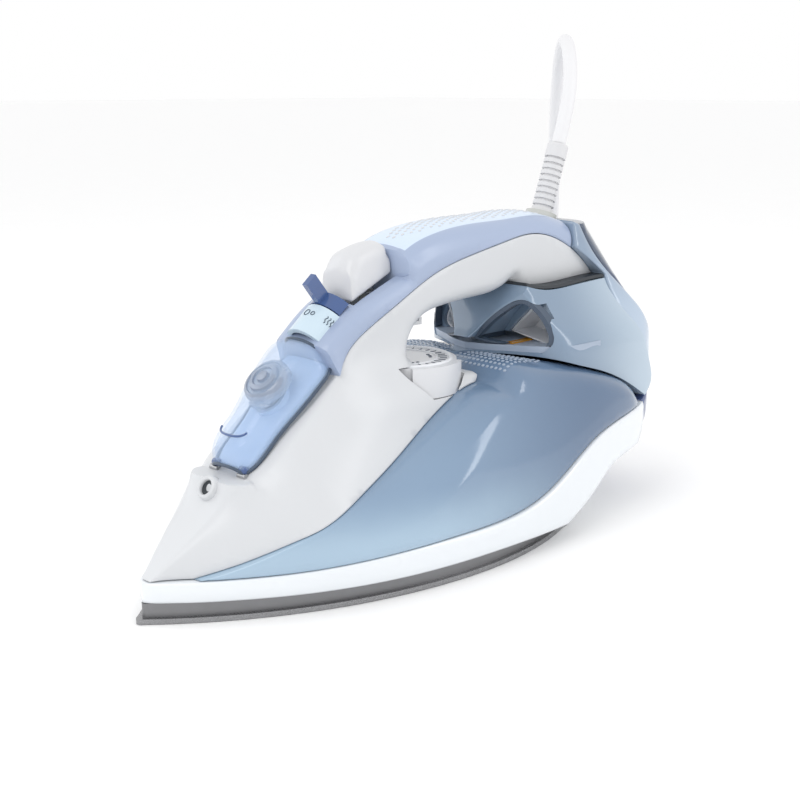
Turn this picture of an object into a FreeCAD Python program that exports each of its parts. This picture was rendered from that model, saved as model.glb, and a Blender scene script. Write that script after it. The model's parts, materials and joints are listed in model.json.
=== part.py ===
import FreeCAD, Part
import math
import os

import Sketcher
from FreeCAD import Placement, Rotation, Vector

# Steam iron, millimetres.  Everything but the mains lead is drawn in station coordinates:
# X to the iron's left, Y = station (distance behind the nose tip), Z up from the ironing surface.
# Each sub-part's Placement then moves it forward by half the length, so that the row's origin
# lies under the middle of the iron, at the ironing surface.

doc = FreeCAD.newDocument("SteamIron")

DIMENSIONS = [
    ("overall_length", 305.0),
    ("sole_length", 220.0),
    ("sole_half_width", 58.0),
    ("sole_widest_station", 145.0),
    ("sole_side_radius", 212.0),
    ("sole_rear_radius", 179.0),
    ("sole_thickness", 2.2),
    ("vent_radius", 1.6),
    ("casting_inset", 2.0),
    ("casting_top", 8.0),
    ("boss_inset", 10.0),
    ("boss_height", 6.0),
    ("heater_radius", 3.2),
    ("heater_height", 8.1),
    ("heater_half_span", 25.0),
    ("heater_front", 84.0),
    ("heater_rear", 214.0),
    ("heater_fit", 0.05),
    ("chamber_depth", 7.0),
    ("cover_sheet", 1.2),
    ("skirt_wall", 3.0),
    ("shell_wall", 2.2),
    ("seam_gap", 0.3),
    ("dial_radius", 26.0),
    ("dial_station", 145.0),
    ("dial_floor", 80.2),
    ("dial_thickness", 5.6),
    ("dial_tab_drop", 8.0),
    ("dial_tab_wall", 3.0),
    ("spindle_radius", 3.0),
    ("column_angle", 39.0),
    ("selector_radius", 12.0),
    ("selector_wall", 2.4),
    ("selector_pin_radius", 2.0),
    ("running_fit", 0.06),
    ("rod_radius", 2.5),
    ("rod_station", 112.0),
    ("spray_station", 123.0),
    ("trigger_station", 149.0),
    ("door_angle", 41.6),
    ("door_length", 60.0),
    ("door_wall", 1.6),
    ("guard_station", 244.0),
    ("guard_height", 143.0),
    ("guard_lean", 20.0),
    ("guard_length", 36.0),
    ("guard_root_radius", 5.4),
    ("guard_tip_radius", 5.0),
    ("cord_radius", 3.5),
    ("coil_inner_radius", 27.8),
    ("coil_outer_radius", 49.2),
    ("coil_height", 14.4),
    ("plug_tilt", 16.7),
    ("plug_length", 46.0),
    ("plug_rim_radius", 18.0),
]

sheet = doc.addObject("Spreadsheet::Sheet", "Dims")
for row, (alias, value) in enumerate(DIMENSIONS, start=1):
    sheet.set("A%d" % row, alias)
    sheet.set("B%d" % row, str(value))
    sheet.setAlias("B%d" % row, alias)
doc.recompute()


def size(alias):
    return float(getattr(sheet, alias))


HUGE = 200.0
SIDE_VIEW = Rotation(Vector(1, 1, 1), 120)
FRONT_VIEW = Rotation(Vector(1, 0, 0), 90)
PLAN_VIEW = Rotation()
subparts = []


def register(item, label, in_station_frame=True):
    """Name a sub-part and give it its place in the row's frame."""
    item.Label = label
    if in_station_frame:
        item.setExpression("Placement.Base.y", "%f - Dims.overall_length / 2" % item.Placement.Base.y)
    subparts.append(item)
    return item


def drive(item, prop, value):
    """Set a property to a number, or bind it to an expression given as text."""
    if isinstance(value, str):
        item.setExpression(prop, value)
    else:
        setattr(item, prop, value)


def outline_edges(stretches):
    """Edges of a closed outline: a stretch of two points is a line, a longer one a smooth curve."""
    edges = []
    for points in stretches:
        vectors = [Vector(a, b, 0) for a, b in points]
        if len(vectors) == 2:
            edges.append(Part.LineSegment(*vectors))
        else:
            curve = Part.BSplineCurve()
            curve.interpolate(vectors)
            edges.append(curve)
    return edges


def closed(points):
    """A closed outline of straight lines through the points."""
    return [[a, b] for a, b in zip(points, points[1:] + points[:1])]


def mirrored(half):
    """A closed outline from a smooth half that starts and ends on the axis."""
    other = [(-a, b) for a, b in reversed(half)]
    return [half, other]


def view_solid(name, stretches, view, low, high):
    """A sketch drawn in one view, extruded along that view's direction from low to high."""
    sketch = doc.addObject("Sketcher::SketchObject", name + "_outline")
    sketch.Placement = Placement(Vector(), view)
    for curve in outline_edges(stretches):
        sketch.addGeometry(curve, False)
    block = doc.addObject("Part::Extrusion", name + "_block")
    block.Base = sketch
    block.DirMode = "Normal"
    block.Solid = True
    block.LengthFwd = high
    block.LengthRev = -low
    return block


def box(name, low, high):
    block = doc.addObject("Part::Box", name)
    block.Length, block.Width, block.Height = [high[i] - low[i] for i in range(3)]
    block.Placement.Base = Vector(*low)
    return block


def cylinder(name, base, axis, radius, length):
    block = doc.addObject("Part::Cylinder", name)
    drive(block, "Radius", radius)
    drive(block, "Height", length)
    block.Placement = Placement(Vector(*base), Rotation(Vector(0, 0, 1), Vector(*axis)))
    return block


def common(name, *tools):
    block = doc.addObject("Part::MultiCommon", name)
    block.Shapes = list(tools)
    return block


def fuse(name, *tools):
    block = doc.addObject("Part::MultiFuse", name)
    block.Shapes = list(tools)
    return block


def cut(name, base, *tools):
    block = doc.addObject("Part::Cut", name)
    block.Base = base
    block.Tool = tools[0] if len(tools) == 1 else fuse(name + "_tools", *tools)
    return block


# ---------------------------------------------------------------- PartDesign helpers


def body(label):
    return register(doc.addObject("PartDesign::Body", label), label)


def plane(item, role):
    return next(f for f in item.Origin.OriginFeatures if f.Role == role)


def sketch_on(item, role, offset, curves, name):
    sketch = item.newObject("Sketcher::SketchObject", name)
    sketch.AttachmentSupport = [(plane(item, role), "")]
    sketch.MapMode = "FlatFace"
    if isinstance(offset, str):
        sketch.setExpression("AttachmentOffset.Base.z", offset)
    else:
        sketch.AttachmentOffset = Placement(Vector(0, 0, offset), Rotation())
    for curve in curves:
        sketch.addGeometry(curve, False)
    return sketch


def pad(item, sketch, length, name):
    feature = item.newObject("PartDesign::Pad", name)
    feature.Profile = sketch
    drive(feature, "Length", length)
    sketch.Visibility = False
    doc.recompute()
    return feature


def pocket(item, sketch, length, name, reverse=False):
    before = item.Shape.Volume
    feature = item.newObject("PartDesign::Pocket", name)
    feature.Profile = sketch
    feature.Reversed = reverse
    drive(feature, "Length", length)
    doc.recompute()
    if item.Shape.Volume > before - 1.0:
        raise RuntimeError(name + " cuts nothing")
    return feature


def revolved(label, profile, base, axis, in_station_frame=True):
    """A turned piece: profile points are (radius, height along the axis)."""
    item = doc.addObject("PartDesign::Body", label)
    edges = outline_edges(closed(profile))
    sketch = sketch_on(item, "XZ_Plane", 0.0, edges, label + "_profile")
    feature = item.newObject("PartDesign::Revolution", label + "_turned")
    feature.Profile = sketch
    feature.ReferenceAxis = (sketch, ["V_Axis"])
    feature.Angle = 360.0
    item.Placement.Rotation = Rotation(Vector(0, 0, 1), Vector(*axis))
    item.Placement.Base = Vector(*base)
    register(item, label, in_station_frame)
    doc.recompute()
    return item


def ring_piece(label, base, axis, inner, outer, length):
    return revolved(label, [(inner, 0), (outer, 0), (outer, length), (inner, length)], base, axis)


def pin_piece(label, base, axis, radius, length):
    return revolved(label, [(0, 0), (radius, 0), (radius, length), (0, length)], base, axis)


# ---------------------------------------------------------------- shared outlines

DOOR_FOOT = Vector(0, 47, 52.5)
DOOR_FOOT_SIZE = (8.2, 8.4)
DOOR_HEAD_SIZE = (14.0, 16.6)
PLUG_CREST = Vector(0, 63.0, 86.3)
PLUG_INWARD = Vector(0, 0.722, -0.692)
FRONT_TOP = (91.5, 88)
FRONT_FOOT = (47, 51.8)
FRONT_SLOPE = math.degrees(math.atan2(FRONT_TOP[1] - FRONT_FOOT[1], FRONT_TOP[0] - FRONT_FOOT[0]))

wall = size("shell_wall")
gap = size("seam_gap")
widest = size("sole_widest_station")
half_width = size("sole_half_width")
CORNER_STATION = 211.0
CORNER_RADIUS = 7.0
NOSE_HALF_WIDTH = 2.0


def sole_curves(inset):
    """The pointed sole: two side arcs, two rear arcs and a straight rear edge, all moved in."""
    front_radius = size("sole_side_radius") - inset
    front_centre = half_width - size("sole_side_radius")
    rear_radius = size("sole_rear_radius") - inset
    rear_centre = half_width - size("sole_rear_radius")

    def front_x(station):
        return front_centre + math.sqrt(front_radius ** 2 - (station - widest) ** 2)

    def rear_x(station):
        return rear_centre + math.sqrt(rear_radius ** 2 - (station - widest) ** 2)

    nose = widest - math.sqrt(front_radius ** 2 - (NOSE_HALF_WIDTH - front_centre) ** 2)
    middle = (nose + widest) / 2
    corner = CORNER_STATION - inset
    rear = size("sole_length") - inset
    corner_x = rear_x(corner)
    curves = []
    for side in (1, -1):
        def at(x, y):
            return Vector(side * x, y, 0)
        curves.append(Part.Arc(at(NOSE_HALF_WIDTH, nose), at(front_x(middle), middle), at(front_x(widest), widest)))
        halfway = (widest + corner) / 2
        curves.append(Part.Arc(at(rear_x(widest), widest), at(rear_x(halfway), halfway), at(corner_x, corner)))
        bend = at(corner_x - CORNER_RADIUS * 0.36, rear - (rear - corner) * 0.3)
        curves.append(Part.Arc(at(corner_x, corner), bend, at(corner_x - CORNER_RADIUS, rear)))
    tip = Vector(0, nose - NOSE_HALF_WIDTH * 0.7, 0)
    curves.append(Part.Arc(Vector(-NOSE_HALF_WIDTH, nose, 0), tip, Vector(NOSE_HALF_WIDTH, nose, 0)))
    edge = corner_x - CORNER_RADIUS
    curves.append(Part.LineSegment(Vector(edge, rear, 0), Vector(-edge, rear, 0)))
    return curves


BODY_HALF_PLAN = [
    (0, 2.5), (4.2, 5), (7.6, 8.4), (13.6, 15), (25, 30), (37.4, 50), (54.2, 94), (60.5, 145), (61, 170),
    (60.3, 192), (57, 220), (52.5, 248), (46.5, 271), (38.5, 286.5), (26, 298), (12, 304), (0, 305),
]


def body_plan(inset):
    """The body's plan outline, moved in by the same distance all round."""
    moved = []
    points = BODY_HALF_PLAN
    for index, (x, y) in enumerate(points):
        before = points[index - 1] if index else (-points[1][0], points[1][1])
        after = points[index + 1] if index + 1 < len(points) else (-points[-2][0], points[-2][1])
        run, rise = after[0] - before[0], after[1] - before[1]
        length = math.hypot(run, rise)
        new_x = max(x - inset * rise / length, 0.0)
        moved.append((0.0 if x == 0 else new_x, y + inset * run / length))
    return mirrored(moved)


# Half widths against height, seen from the front.
HOUSING_HALF_FRONT = [(0, 16), (61, 17), (47, 32), (37, 50), (30.5, 66), (27.5, 76), (22.5, 84), (18.5, 91),
                      (18.5, 110), (20, 125), (21, 136)]
HOUSING_TOP = 152.0
TANK_FRONT = [[(-62, 15), (62, 15)], [(62, 15), (61, 26), (58.5, 40), (54, 56), (49, 70), (42, 80), (32, 90)],
              [(32, 90), (-32, 90)],
              [(-32, 90), (-42, 80), (-49, 70), (-54, 56), (-58.5, 40), (-61, 26), (-62, 15)]]


def housing_front(inset):
    side = [(x - inset, z) for x, z in HOUSING_HALF_FRONT[1:]]
    top_x = side[-1][0]
    left = [(-x, z) for x, z in reversed(side)]
    return [[(left[-1]), (side[0])], side, [side[-1], (top_x, HOUSING_TOP)],
            [(top_x, HOUSING_TOP), (-top_x, HOUSING_TOP)], [(-top_x, HOUSING_TOP), left[0]], left]


# Side-view curves as (station, height).
SKIRT_TOP = [(3, 16.5), (60, 17.5), (120, 20), (176, 25), (198, 34), (222, 44), (250, 49), (273, 51)]
NOSE_SEAM = [(5, 17), (50, 27), (88, 38), (110, 47), (122, 55), (140, 67), (158, 74), (168, 75.5)]
TANK_REAR_TOP = [(172, 77), (178, 82), (196, 82), (220, 77), (240, 71), (262, 61.5), (273, 53)]
HANDLE_SEAM = [FRONT_TOP, (99, 98), (110.5, 106), (126.5, 114.5), (147.5, 125), (172, 131.5), (194, 135.5),
               (214, 137.5), (232, 133.5), (243, 128.5)]
PILLAR_TOP = [(203, 114.5), (212, 112.5), (235, 112), (262, 113)]
STRUT_FRONT = [(203, 114.5), (196.5, 106), (192, 98), (188, 92), (182, 87.5), (176, 83.5)]
BAND_FRONT = [(262, 113), (264.5, 100), (272.5, 86), (279, 71), (281, 60), (277, 53)]
CREST = [(86.3, 100.4), (104, 113.2), (118, 119.4), (132, 124.8)]
BUTTON_STEP = (132.6, 136.6)
HANDLE_TOP = [(137, 138.5), (150, 142.5), (178, 146), (199, 146.3), (228, 146), (243, 142)]


def shifted(points, along, up):
    return [(a + along, b + up) for a, b in points]


def plan_block(name, inset, low, high):
    return view_solid(name, body_plan(inset), PLAN_VIEW, low, high)


# ---------------------------------------------------------------- sole


def build_soleplate():
    item = body("soleplate")
    pad(item, sketch_on(item, "XY_Plane", 0.0, sole_curves(0.0), "sole_outline"), "Dims.sole_thickness", "sole_pad")
    vents = []
    radius = size("vent_radius")
    for inset in (13.0, 21.0):
        side_radius = size("sole_side_radius") - inset
        centre_x = half_width - size("sole_side_radius")
        for step in range(7):
            station = 58.0 + step * 14.0 + (7.0 if inset > 15 else 0.0)
            x = centre_x + math.sqrt(side_radius ** 2 - (station - widest) ** 2)
            for side in (1, -1):
                vents.append(Part.Circle(Vector(side * x, station, 0), Vector(0, 0, 1), radius))
    pocket(item, sketch_on(item, "XY_Plane", 0.0, vents, "vent_circles"), "Dims.sole_thickness", "vents", reverse=True)


def build_sole_casting():
    item = body("sole_casting")
    base = sketch_on(item, "XY_Plane", "Dims.sole_thickness", sole_curves(size("casting_inset")), "casting_outline")
    pad(item, base, "Dims.casting_top - Dims.sole_thickness", "casting_pad")
    boss = sketch_on(item, "XY_Plane", "Dims.casting_top", sole_curves(size("boss_inset")), "boss_outline")
    pad(item, boss, "Dims.boss_height", "boss_pad")
    corners = [Vector(x, y, 0) for x, y in ((-15, 96), (15, 96), (15, 176), (-15, 176))]
    rectangle = [Part.LineSegment(a, b) for a, b in zip(corners, corners[1:] + corners[:1])]
    chamber = sketch_on(item, "XY_Plane", "Dims.casting_top + Dims.boss_height", rectangle, "chamber_outline")
    pocket(item, chamber, "Dims.chamber_depth", "steam_chamber")
    channel = item.newObject("PartDesign::SubtractivePipe", "heater_channel")
    channel.Profile = heater_section(item, "channel", "Dims.heater_radius + Dims.heater_fit")
    channel.Spine = heater_path(item, "channel")
    doc.recompute()


def heater_path(item, name):
    """U-shaped centre line of the heater, open towards the heel."""
    span = size("heater_half_span")
    front = size("heater_front") + span
    rear = size("heater_rear")
    curves = [
        Part.LineSegment(Vector(span, rear, 0), Vector(span, front, 0)),
        Part.Arc(Vector(span, front, 0), Vector(0, front - span, 0), Vector(-span, front, 0)),
        Part.LineSegment(Vector(-span, front, 0), Vector(-span, rear, 0)),
    ]
    return sketch_on(item, "XY_Plane", "Dims.heater_height", curves, name + "_path")


def heater_section(item, name, radius):
    circle = Part.Circle(Vector(size("heater_half_span"), size("heater_height"), 0), Vector(0, 0, 1), 3.0)
    sketch = sketch_on(item, "XZ_Plane", "-Dims.heater_rear", [circle], name + "_section")
    constraint = sketch.addConstraint(Sketcher.Constraint("Radius", 0, 3.0))
    sketch.setExpression("Constraints[%d]" % constraint, radius)
    return sketch


def build_heater():
    item = body("heating_element")
    pipe = item.newObject("PartDesign::AdditivePipe", "heater_tube")
    pipe.Profile = heater_section(item, "heater", "Dims.heater_radius")
    pipe.Spine = heater_path(item, "heater")
    doc.recompute()


def build_chamber_cover():
    item = body("steam_chamber_cover")
    curves = sole_curves(size("boss_inset") + 8.0)
    for x, station in ((0, size("rod_station")), (-10, 90), (10, 90), (-10, 182), (10, 182)):
        curves.append(Part.Circle(Vector(x, station, 0), Vector(0, 0, 1), 3.2 if x == 0 else 1.7))
    height = "Dims.casting_top + Dims.boss_height + 0.1"
    pad(item, sketch_on(item, "XY_Plane", height, curves, "cover_outline"), "Dims.cover_sheet", "cover_pad")


# ---------------------------------------------------------------- lower body

COVER_TOP = size("casting_top") + size("boss_height") + 0.1 + size("cover_sheet")
HEATER_BAY = ((-24, 100, 0), (24, 200, 27.5))


def build_skirt():
    top = shifted(SKIRT_TOP, 0, -gap)
    bottom = [(3, 8.3), (196, 8.3)]
    rising = [(196, 8.3), (208, 13), (220, 18.5), (236, 27), (252, 30), (266, 31)]
    rear = [(266, 31), (272, 37), (274, 45), top[-1]]
    side = [bottom, rising, rear, list(reversed(top)), [top[0], bottom[0]]]
    outer = common("skirt_outer", plan_block("skirt_plan", 0.0, 0, 60), view_solid("skirt_side", side, SIDE_VIEW, -70, 70))
    inner_plan = plan_block("skirt_inner_plan", size("skirt_wall"), 0, 60)
    front_hollow = common("skirt_front_hollow", inner_plan, box("skirt_front_box", (-70, 0, 0), (70, 221, 60)))
    heel_plan = plan_block("skirt_heel_plan", size("skirt_wall"), 34, 60)
    heel_hollow = common("skirt_heel_hollow", heel_plan, box("skirt_heel_box", (-70, 224, 34), (70, 268, 60)))
    register(cut("skirt", outer, front_hollow, heel_hollow), "skirt")


def tank_side(inset):
    lower = shifted(SKIRT_TOP, 0, inset)
    seam = shifted(NOSE_SEAM, 0, -gap - inset)
    rear = shifted(TANK_REAR_TOP, 0, -inset)
    if inset:
        lower = [(12, lower[0][1] + 2)] + lower[1:-1] + [(266, lower[-1][1])]
        seam = [(20, lower[0][1] + 2.5)] + [(a, b - 3.0 if a > 115 else b) for a, b in seam[1:]]
        rear = rear[:-1] + [(266, rear[-1][1] + 2.5)]
    return [lower, [lower[-1], rear[-1]], list(reversed(rear)), [rear[0], seam[-1]], list(reversed(seam)),
            [seam[0], lower[0]]]


def build_water_tank():
    outer = common("tank_outer", plan_block("tank_plan", 0.5, 0, 95),
                   view_solid("tank_side", tank_side(0.0), SIDE_VIEW, -70, 70),
                   view_solid("tank_front", TANK_FRONT, FRONT_VIEW, -310, 0))
    shrunk_front = [[(x - math.copysign(wall, x), z) for x, z in stretch] for stretch in TANK_FRONT]
    room = common("tank_room", plan_block("tank_inner_plan", 0.5 + wall, 0, 95),
                  view_solid("tank_inner_side", tank_side(wall), SIDE_VIEW, -70, 70),
                  view_solid("tank_inner_front", shrunk_front, FRONT_VIEW, -310, 0))
    low, high = HEATER_BAY
    bay_roof = box("bay_roof", (low[0] - wall, low[1] - wall, low[2]), (high[0] + wall, high[1] + wall, high[2] + wall))
    tubes = []
    bores = []
    for station, radius in ((size("dial_station"), 4.4), (size("rod_station"), 3.4)):
        tubes.append(cylinder("tank_tube", (0, station, 0), (0, 0, 1), radius + wall, 95.0))
        bores.append(cylinder("tank_bore", (0, station, 0), (0, 0, 1), radius, 95.0))
    filler = cylinder("tank_filler_hole", (0, 79, 25), (0, 0, 1), 7.4, 40.0)
    wet_room = cut("tank_wet_room", room, bay_roof, *tubes)
    bay = box("bay_room", low, high)
    register(cut("water_tank", outer, wet_room, bay, filler, tab_room(), *bores), "water_tank")


def tab_room():
    """The arc-shaped room in which the dial's finger tab swings."""
    station = size("dial_station")
    outer_ring = cylinder("tab_room_outer", (0, station, 71.8), (0, 0, 1), 29.8, 14.8)
    outer_ring.Angle = 150
    outer_ring.Placement.Rotation = Rotation(Vector(0, 0, 1), -113)
    return cut("tab_room", outer_ring, cylinder("tab_room_inner", (0, station, 60), (0, 0, 1), 25.2, 40.0))


# ---------------------------------------------------------------- housing and handle


def inner_channel():
    """The hollow that the housing and the handle cover share, seen from the side."""
    lower = [(20, 22.5), (50, 30.5), (88, 41.5), (108, 50.5), (116, 57)]
    column = [(116, 57), (116, 90), (131, 90)]
    under = [(131, 90), (133, 97), (138, 106.5), (146, 110.5), (160, 112.8), (179, 113.5), (197, 116)]
    rear = [(197, 116), (216, 117.5), (240, 117.5), (248, 119)]
    top = [(248, 119), (241, 138), (228, 143.4), (199, 143.8), (178, 143.4), (151, 140), (137, 135.8)]
    crest = [(137, 135.8), (134.6, 122), (128, 119.4), (104, 109.8), (92, 99.5)]
    front = [crest[-1], (93.5, 88), (49, 50)]
    nose = [(49, 50), (40.4, 48.4), (38, 44.5), (26, 32)]
    return [lower, column[:2], column[1:], under, rear, top, crest[:2], crest[1:], front[:2], front[1:], nose,
            [nose[-1], lower[0]]]


def build_main_housing():
    seam = NOSE_SEAM
    plateau = [seam[-1], (170, 78), (163, 79.6), (135, 79.9)]
    throat = [(135, 79.9), (135, 90)]
    under = [(135, 90), (138, 99), (144, 105), (159, 109), (179, 110.5), (196, 112.8), (203, 116.2)]
    seat = shifted(PILLAR_TOP, 0, 1.7)
    back = [seat[-1], (254, 121.2), (243, 128.2)]
    top = list(reversed(HANDLE_SEAM))
    top[0] = (243, 128.2)
    front = [FRONT_TOP, FRONT_FOOT, (38, 51.0)]
    nose = [(38, 51.0), (36, 46), (24, 33.5), (10, 21.5), seam[0]]
    side = [seam, plateau, throat, under, seat, back, top, front[:2], front[1:], nose]
    outer = common("housing_outer", plan_block("housing_plan", 0.5, 0, 160),
                   view_solid("housing_side", side, SIDE_VIEW, -70, 70),
                   view_solid("housing_front", housing_front(0.0), FRONT_VIEW, -310, 0))
    hollow = common("housing_hollow", plan_block("housing_inner_plan", 0.5 + wall, 0, 160),
                    view_solid("housing_channel", inner_channel(), SIDE_VIEW, -70, 70),
                    view_solid("housing_inner_front", housing_front(wall + 0.3), FRONT_VIEW, -310, 0))
    station = size("dial_station")
    dial_room = cylinder("dial_room", (0, station, 79.9), (0, 0, 1), size("dial_radius") + 0.7, 6.7)
    spindle_hole = cylinder("spindle_hole", (0, station, 60), (0, 0, 1), 3.4, 30.0)
    trigger = size("trigger_station")
    trigger_hole = box("trigger_hole", (-3.6, trigger - 3.6, 100), (3.6, trigger + 3.6, 118))
    nozzle_hole = cylinder("nozzle_hole", (0, 20, 37.0), (0, 1, 0.15), 4.3, 24.0)
    rod_hole = cylinder("rod_hole", (0, size("rod_station"), 40), (0, 0, 1), 3.4, 60.0)
    filler_hole = cylinder("filler_hole", (0, 79, 30), (0, 0, 1), 7.4, 40.0)
    filler_mouth = cylinder("filler_mouth", tuple(PLUG_CREST), tuple(PLUG_INWARD), 7.4, 24.0)
    lug_rooms = [cylinder("lug_room", (x, DOOR_FOOT.y, DOOR_FOOT.z), (1, 0, 0), 3.5, 2.6) for x in (-8.7, 6.1)]
    pin_holes = cylinder("hinge_pin_hole", (-11.5, DOOR_FOOT.y, DOOR_FOOT.z), (1, 0, 0), 1.2, 23.0)
    tools = (hollow, dial_room, spindle_hole, tab_room(), trigger_hole, nozzle_hole, rod_hole, filler_hole,
             filler_mouth, pin_holes, lead_hole(243.3, 6.8), guard_hole(8.0), *lug_rooms)
    register(cut("main_housing", outer, *tools), "main_housing")


def build_handle_cover():
    seam = shifted(HANDLE_SEAM, 0, gap)
    top = [(243.3, 141.9)] + list(reversed(HANDLE_TOP[:-1])) + [BUTTON_STEP]
    side = [seam, [seam[-1], top[0]], top, [BUTTON_STEP, CREST[-1]], list(reversed(CREST)), [CREST[0], seam[0]]]
    outer = common("cover_outer", view_solid("cover_side", side, SIDE_VIEW, -70, 70),
                   view_solid("cover_front", housing_front(0.0), FRONT_VIEW, -310, 0))
    hollow = common("cover_hollow", view_solid("cover_channel", inner_channel(), SIDE_VIEW, -70, 70),
                    view_solid("cover_inner_front", housing_front(wall + 0.3), FRONT_VIEW, -310, 0))
    slot = box("cover_slot", (-12.4, 78, 88), (12.4, 132.3, 150))
    door_notch = box("cover_door_notch", (-14.5, 78, 86), (14.5, 92.7, 101))
    register(cut("handle_cover", outer, hollow, slot, door_notch, guard_hole(8.0)), "handle_cover")


def column_frame():
    """Base point on the selector's axis and the axis's direction."""
    angle = math.radians(size("column_angle"))
    along = Vector(0, math.cos(angle), math.sin(angle))
    outward = Vector(0, -math.sin(angle), math.cos(angle))
    base = Vector(0, 84, 106) - outward * size("selector_radius")
    return base, along


def half_tube(name, base, along, start, end, radius, thickness, spread):
    """A tube along the column's axis, kept within `spread` degrees each side of the crest."""
    origin = base + along * start
    tube = cylinder(name + "_outer", origin, along, radius, end - start)
    bore = cylinder(name + "_bore", origin - along, along, radius - thickness, end - start + 2)
    shell = cut(name + "_shell", tube, bore)
    slope = math.radians(size("column_angle"))
    reach = radius * 3
    edge = math.radians(90 - spread)
    corners = [(0, 0), (reach * math.cos(edge), reach * math.sin(edge)), (reach, reach * 2), (-reach, reach * 2),
               (-reach * math.cos(edge), reach * math.sin(edge))]
    wedge = view_solid(name + "_wedge", closed(corners), Rotation(Vector(1, 0, 0), 90 + math.degrees(slope)),
                       -HUGE, HUGE)
    wedge.Base.Placement = Placement(origin, Rotation(Vector(1, 0, 0), 90 + math.degrees(slope)))
    return common(name, shell, wedge)


def build_label_strip():
    base, along = column_frame()
    strip = half_tube("label_strip", base, along, 0.6, 15.2, size("selector_radius"), 2.2, 78)
    register(strip, "label_strip")


def build_steam_selector():
    base, along = column_frame()
    radius = size("selector_radius")
    collar = half_tube("selector_collar", base, along, 15.8, 22.5, radius, size("selector_wall"), 58)
    hub = cylinder("selector_hub", base + along * 15.8, along, 4.2, 4.0)
    spoke = box("selector_spoke", (-1.4, 0, 3.0), (1.4, 3.0, radius - 1.0))
    fin = box("selector_fin", (-1.5, 0, radius - 1.0), (1.5, 6.4, radius + 11.0))
    turn = Rotation(Vector(1, 0, 0), size("column_angle"))
    for block in (spoke, fin):
        local = block.Placement.Base
        block.Placement = Placement(base + along * 15.8 + turn.multVec(local), turn)
    bore = cylinder("selector_bore", base + along * 10, along, "Dims.selector_pin_radius + Dims.running_fit", 20.0)
    register(cut("steam_selector", fuse("selector_parts", collar, hub, spoke, fin), bore), "steam_selector")
    pin = cylinder("selector_pin", base + along * 11, along, "Dims.selector_pin_radius", 12.0)
    register(pin, "selector_pin")


def build_spray_button():
    side = closed([(107.5, 116.6), (107.5, 130), (110.5, 135.5), (117.5, 138.8), (125, 140.5), (130, 139.2),
                   (131.3, 135), (131.3, 126.6)])
    block = view_solid("button_side", side, SIDE_VIEW, -11.0, 11.0)
    room_side = closed([(109.7, 110), (109.7, 129.5), (112.5, 133.8), (124, 137.8), (129, 136), (129, 110)])
    room = view_solid("button_room", room_side, SIDE_VIEW, -9.0, 9.0)
    stem = cylinder("button_stem", (0, size("spray_station"), 125.6), (0, 0, 1), 3.4, 10.9)
    register(fuse("spray_button", cut("button_shell", block, room), stem), "spray_button")


def build_trigger():
    station = size("trigger_station")
    blade = box("trigger_blade", (-6, station - 3.9, 100.6), (6, station + 4.5, 102.4))
    lip = box("trigger_lip", (-6, station + 2.9, 102.4), (6, station + 4.5, 103.8))
    stem = box("trigger_stem", (-3, station - 3, 102.4), (3, station + 3, 113.2))
    flange = box("trigger_flange", (-5, station - 5, 113.2), (5, station + 5, 114.8))
    register(fuse("boost_trigger", blade, lip, stem, flange), "boost_trigger")


# ---------------------------------------------------------------- turned and sprung pieces


def build_dial():
    item = body("dial")
    radius = size("dial_radius")
    station = size("dial_station")
    disc = [Part.Circle(Vector(0, station, 0), Vector(0, 0, 1), radius),
            Part.Circle(Vector(0, station, 0), Vector(0, 0, 1), size("spindle_radius"))]
    pad(item, sketch_on(item, "XY_Plane", "Dims.dial_floor", disc, "dial_disc"), "Dims.dial_thickness", "disc_pad")
    outer = radius + 2.6
    inner = outer - size("dial_tab_wall")
    half_angle = math.radians(33)

    def at(distance, angle):
        return Vector(distance * math.cos(angle), station + distance * math.sin(angle), 0)

    tab = [Part.Arc(at(outer, -half_angle), at(outer, 0), at(outer, half_angle)),
           Part.LineSegment(at(outer, half_angle), at(inner, half_angle)),
           Part.Arc(at(inner, half_angle), at(inner, 0), at(inner, -half_angle)),
           Part.LineSegment(at(inner, -half_angle), at(outer, -half_angle))]
    low = "Dims.dial_floor - Dims.dial_tab_drop"
    pad(item, sketch_on(item, "XY_Plane", low, tab, "tab_outline"), "Dims.dial_thickness + Dims.dial_tab_drop", "tab_pad")


def build_dial_spindle():
    bottom = 22.2
    length = size("dial_floor") + size("dial_thickness") - bottom
    pin_piece("dial_spindle", (0, size("dial_station"), bottom), (0, 0, 1), size("spindle_radius"), length)


def build_thermostat():
    profile = [(0, 15.5), (8, 15.5), (8, 19), (4.2, 19), (4.2, 22), (0, 22)]
    revolved("thermostat", profile, (0, size("dial_station"), 0), (0, 0, 1))


def build_steam_valve():
    station = size("rod_station")
    pin_piece("steam_valve_rod", (0, station, 19.5), (0, 0, 1), size("rod_radius"), 74.0)
    ring_piece("steam_valve_seat", (0, station, COVER_TOP + 0.1), (0, 0, 1), size("rod_radius") + 0.06, 5.0, 5.0)


def coil_spring(label, base, radius, wire, height, turns):
    """A round-wire compression spring standing along Z."""
    spring = doc.addObject("Part::Feature", label)
    pitch = (height - wire) / turns
    helix = Part.makeHelix(pitch, height - wire, radius)
    section = Part.Wire(Part.makeCircle(wire / 2, Vector(radius, 0, 0), Vector(0, 1, 0)))
    spring.Shape = Part.Wire(helix.Edges).makePipeShell([section], True, True)
    x, y, z = base
    spring.Placement.Base = Vector(x, y, z + wire / 2)
    return register(spring, label)


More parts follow.
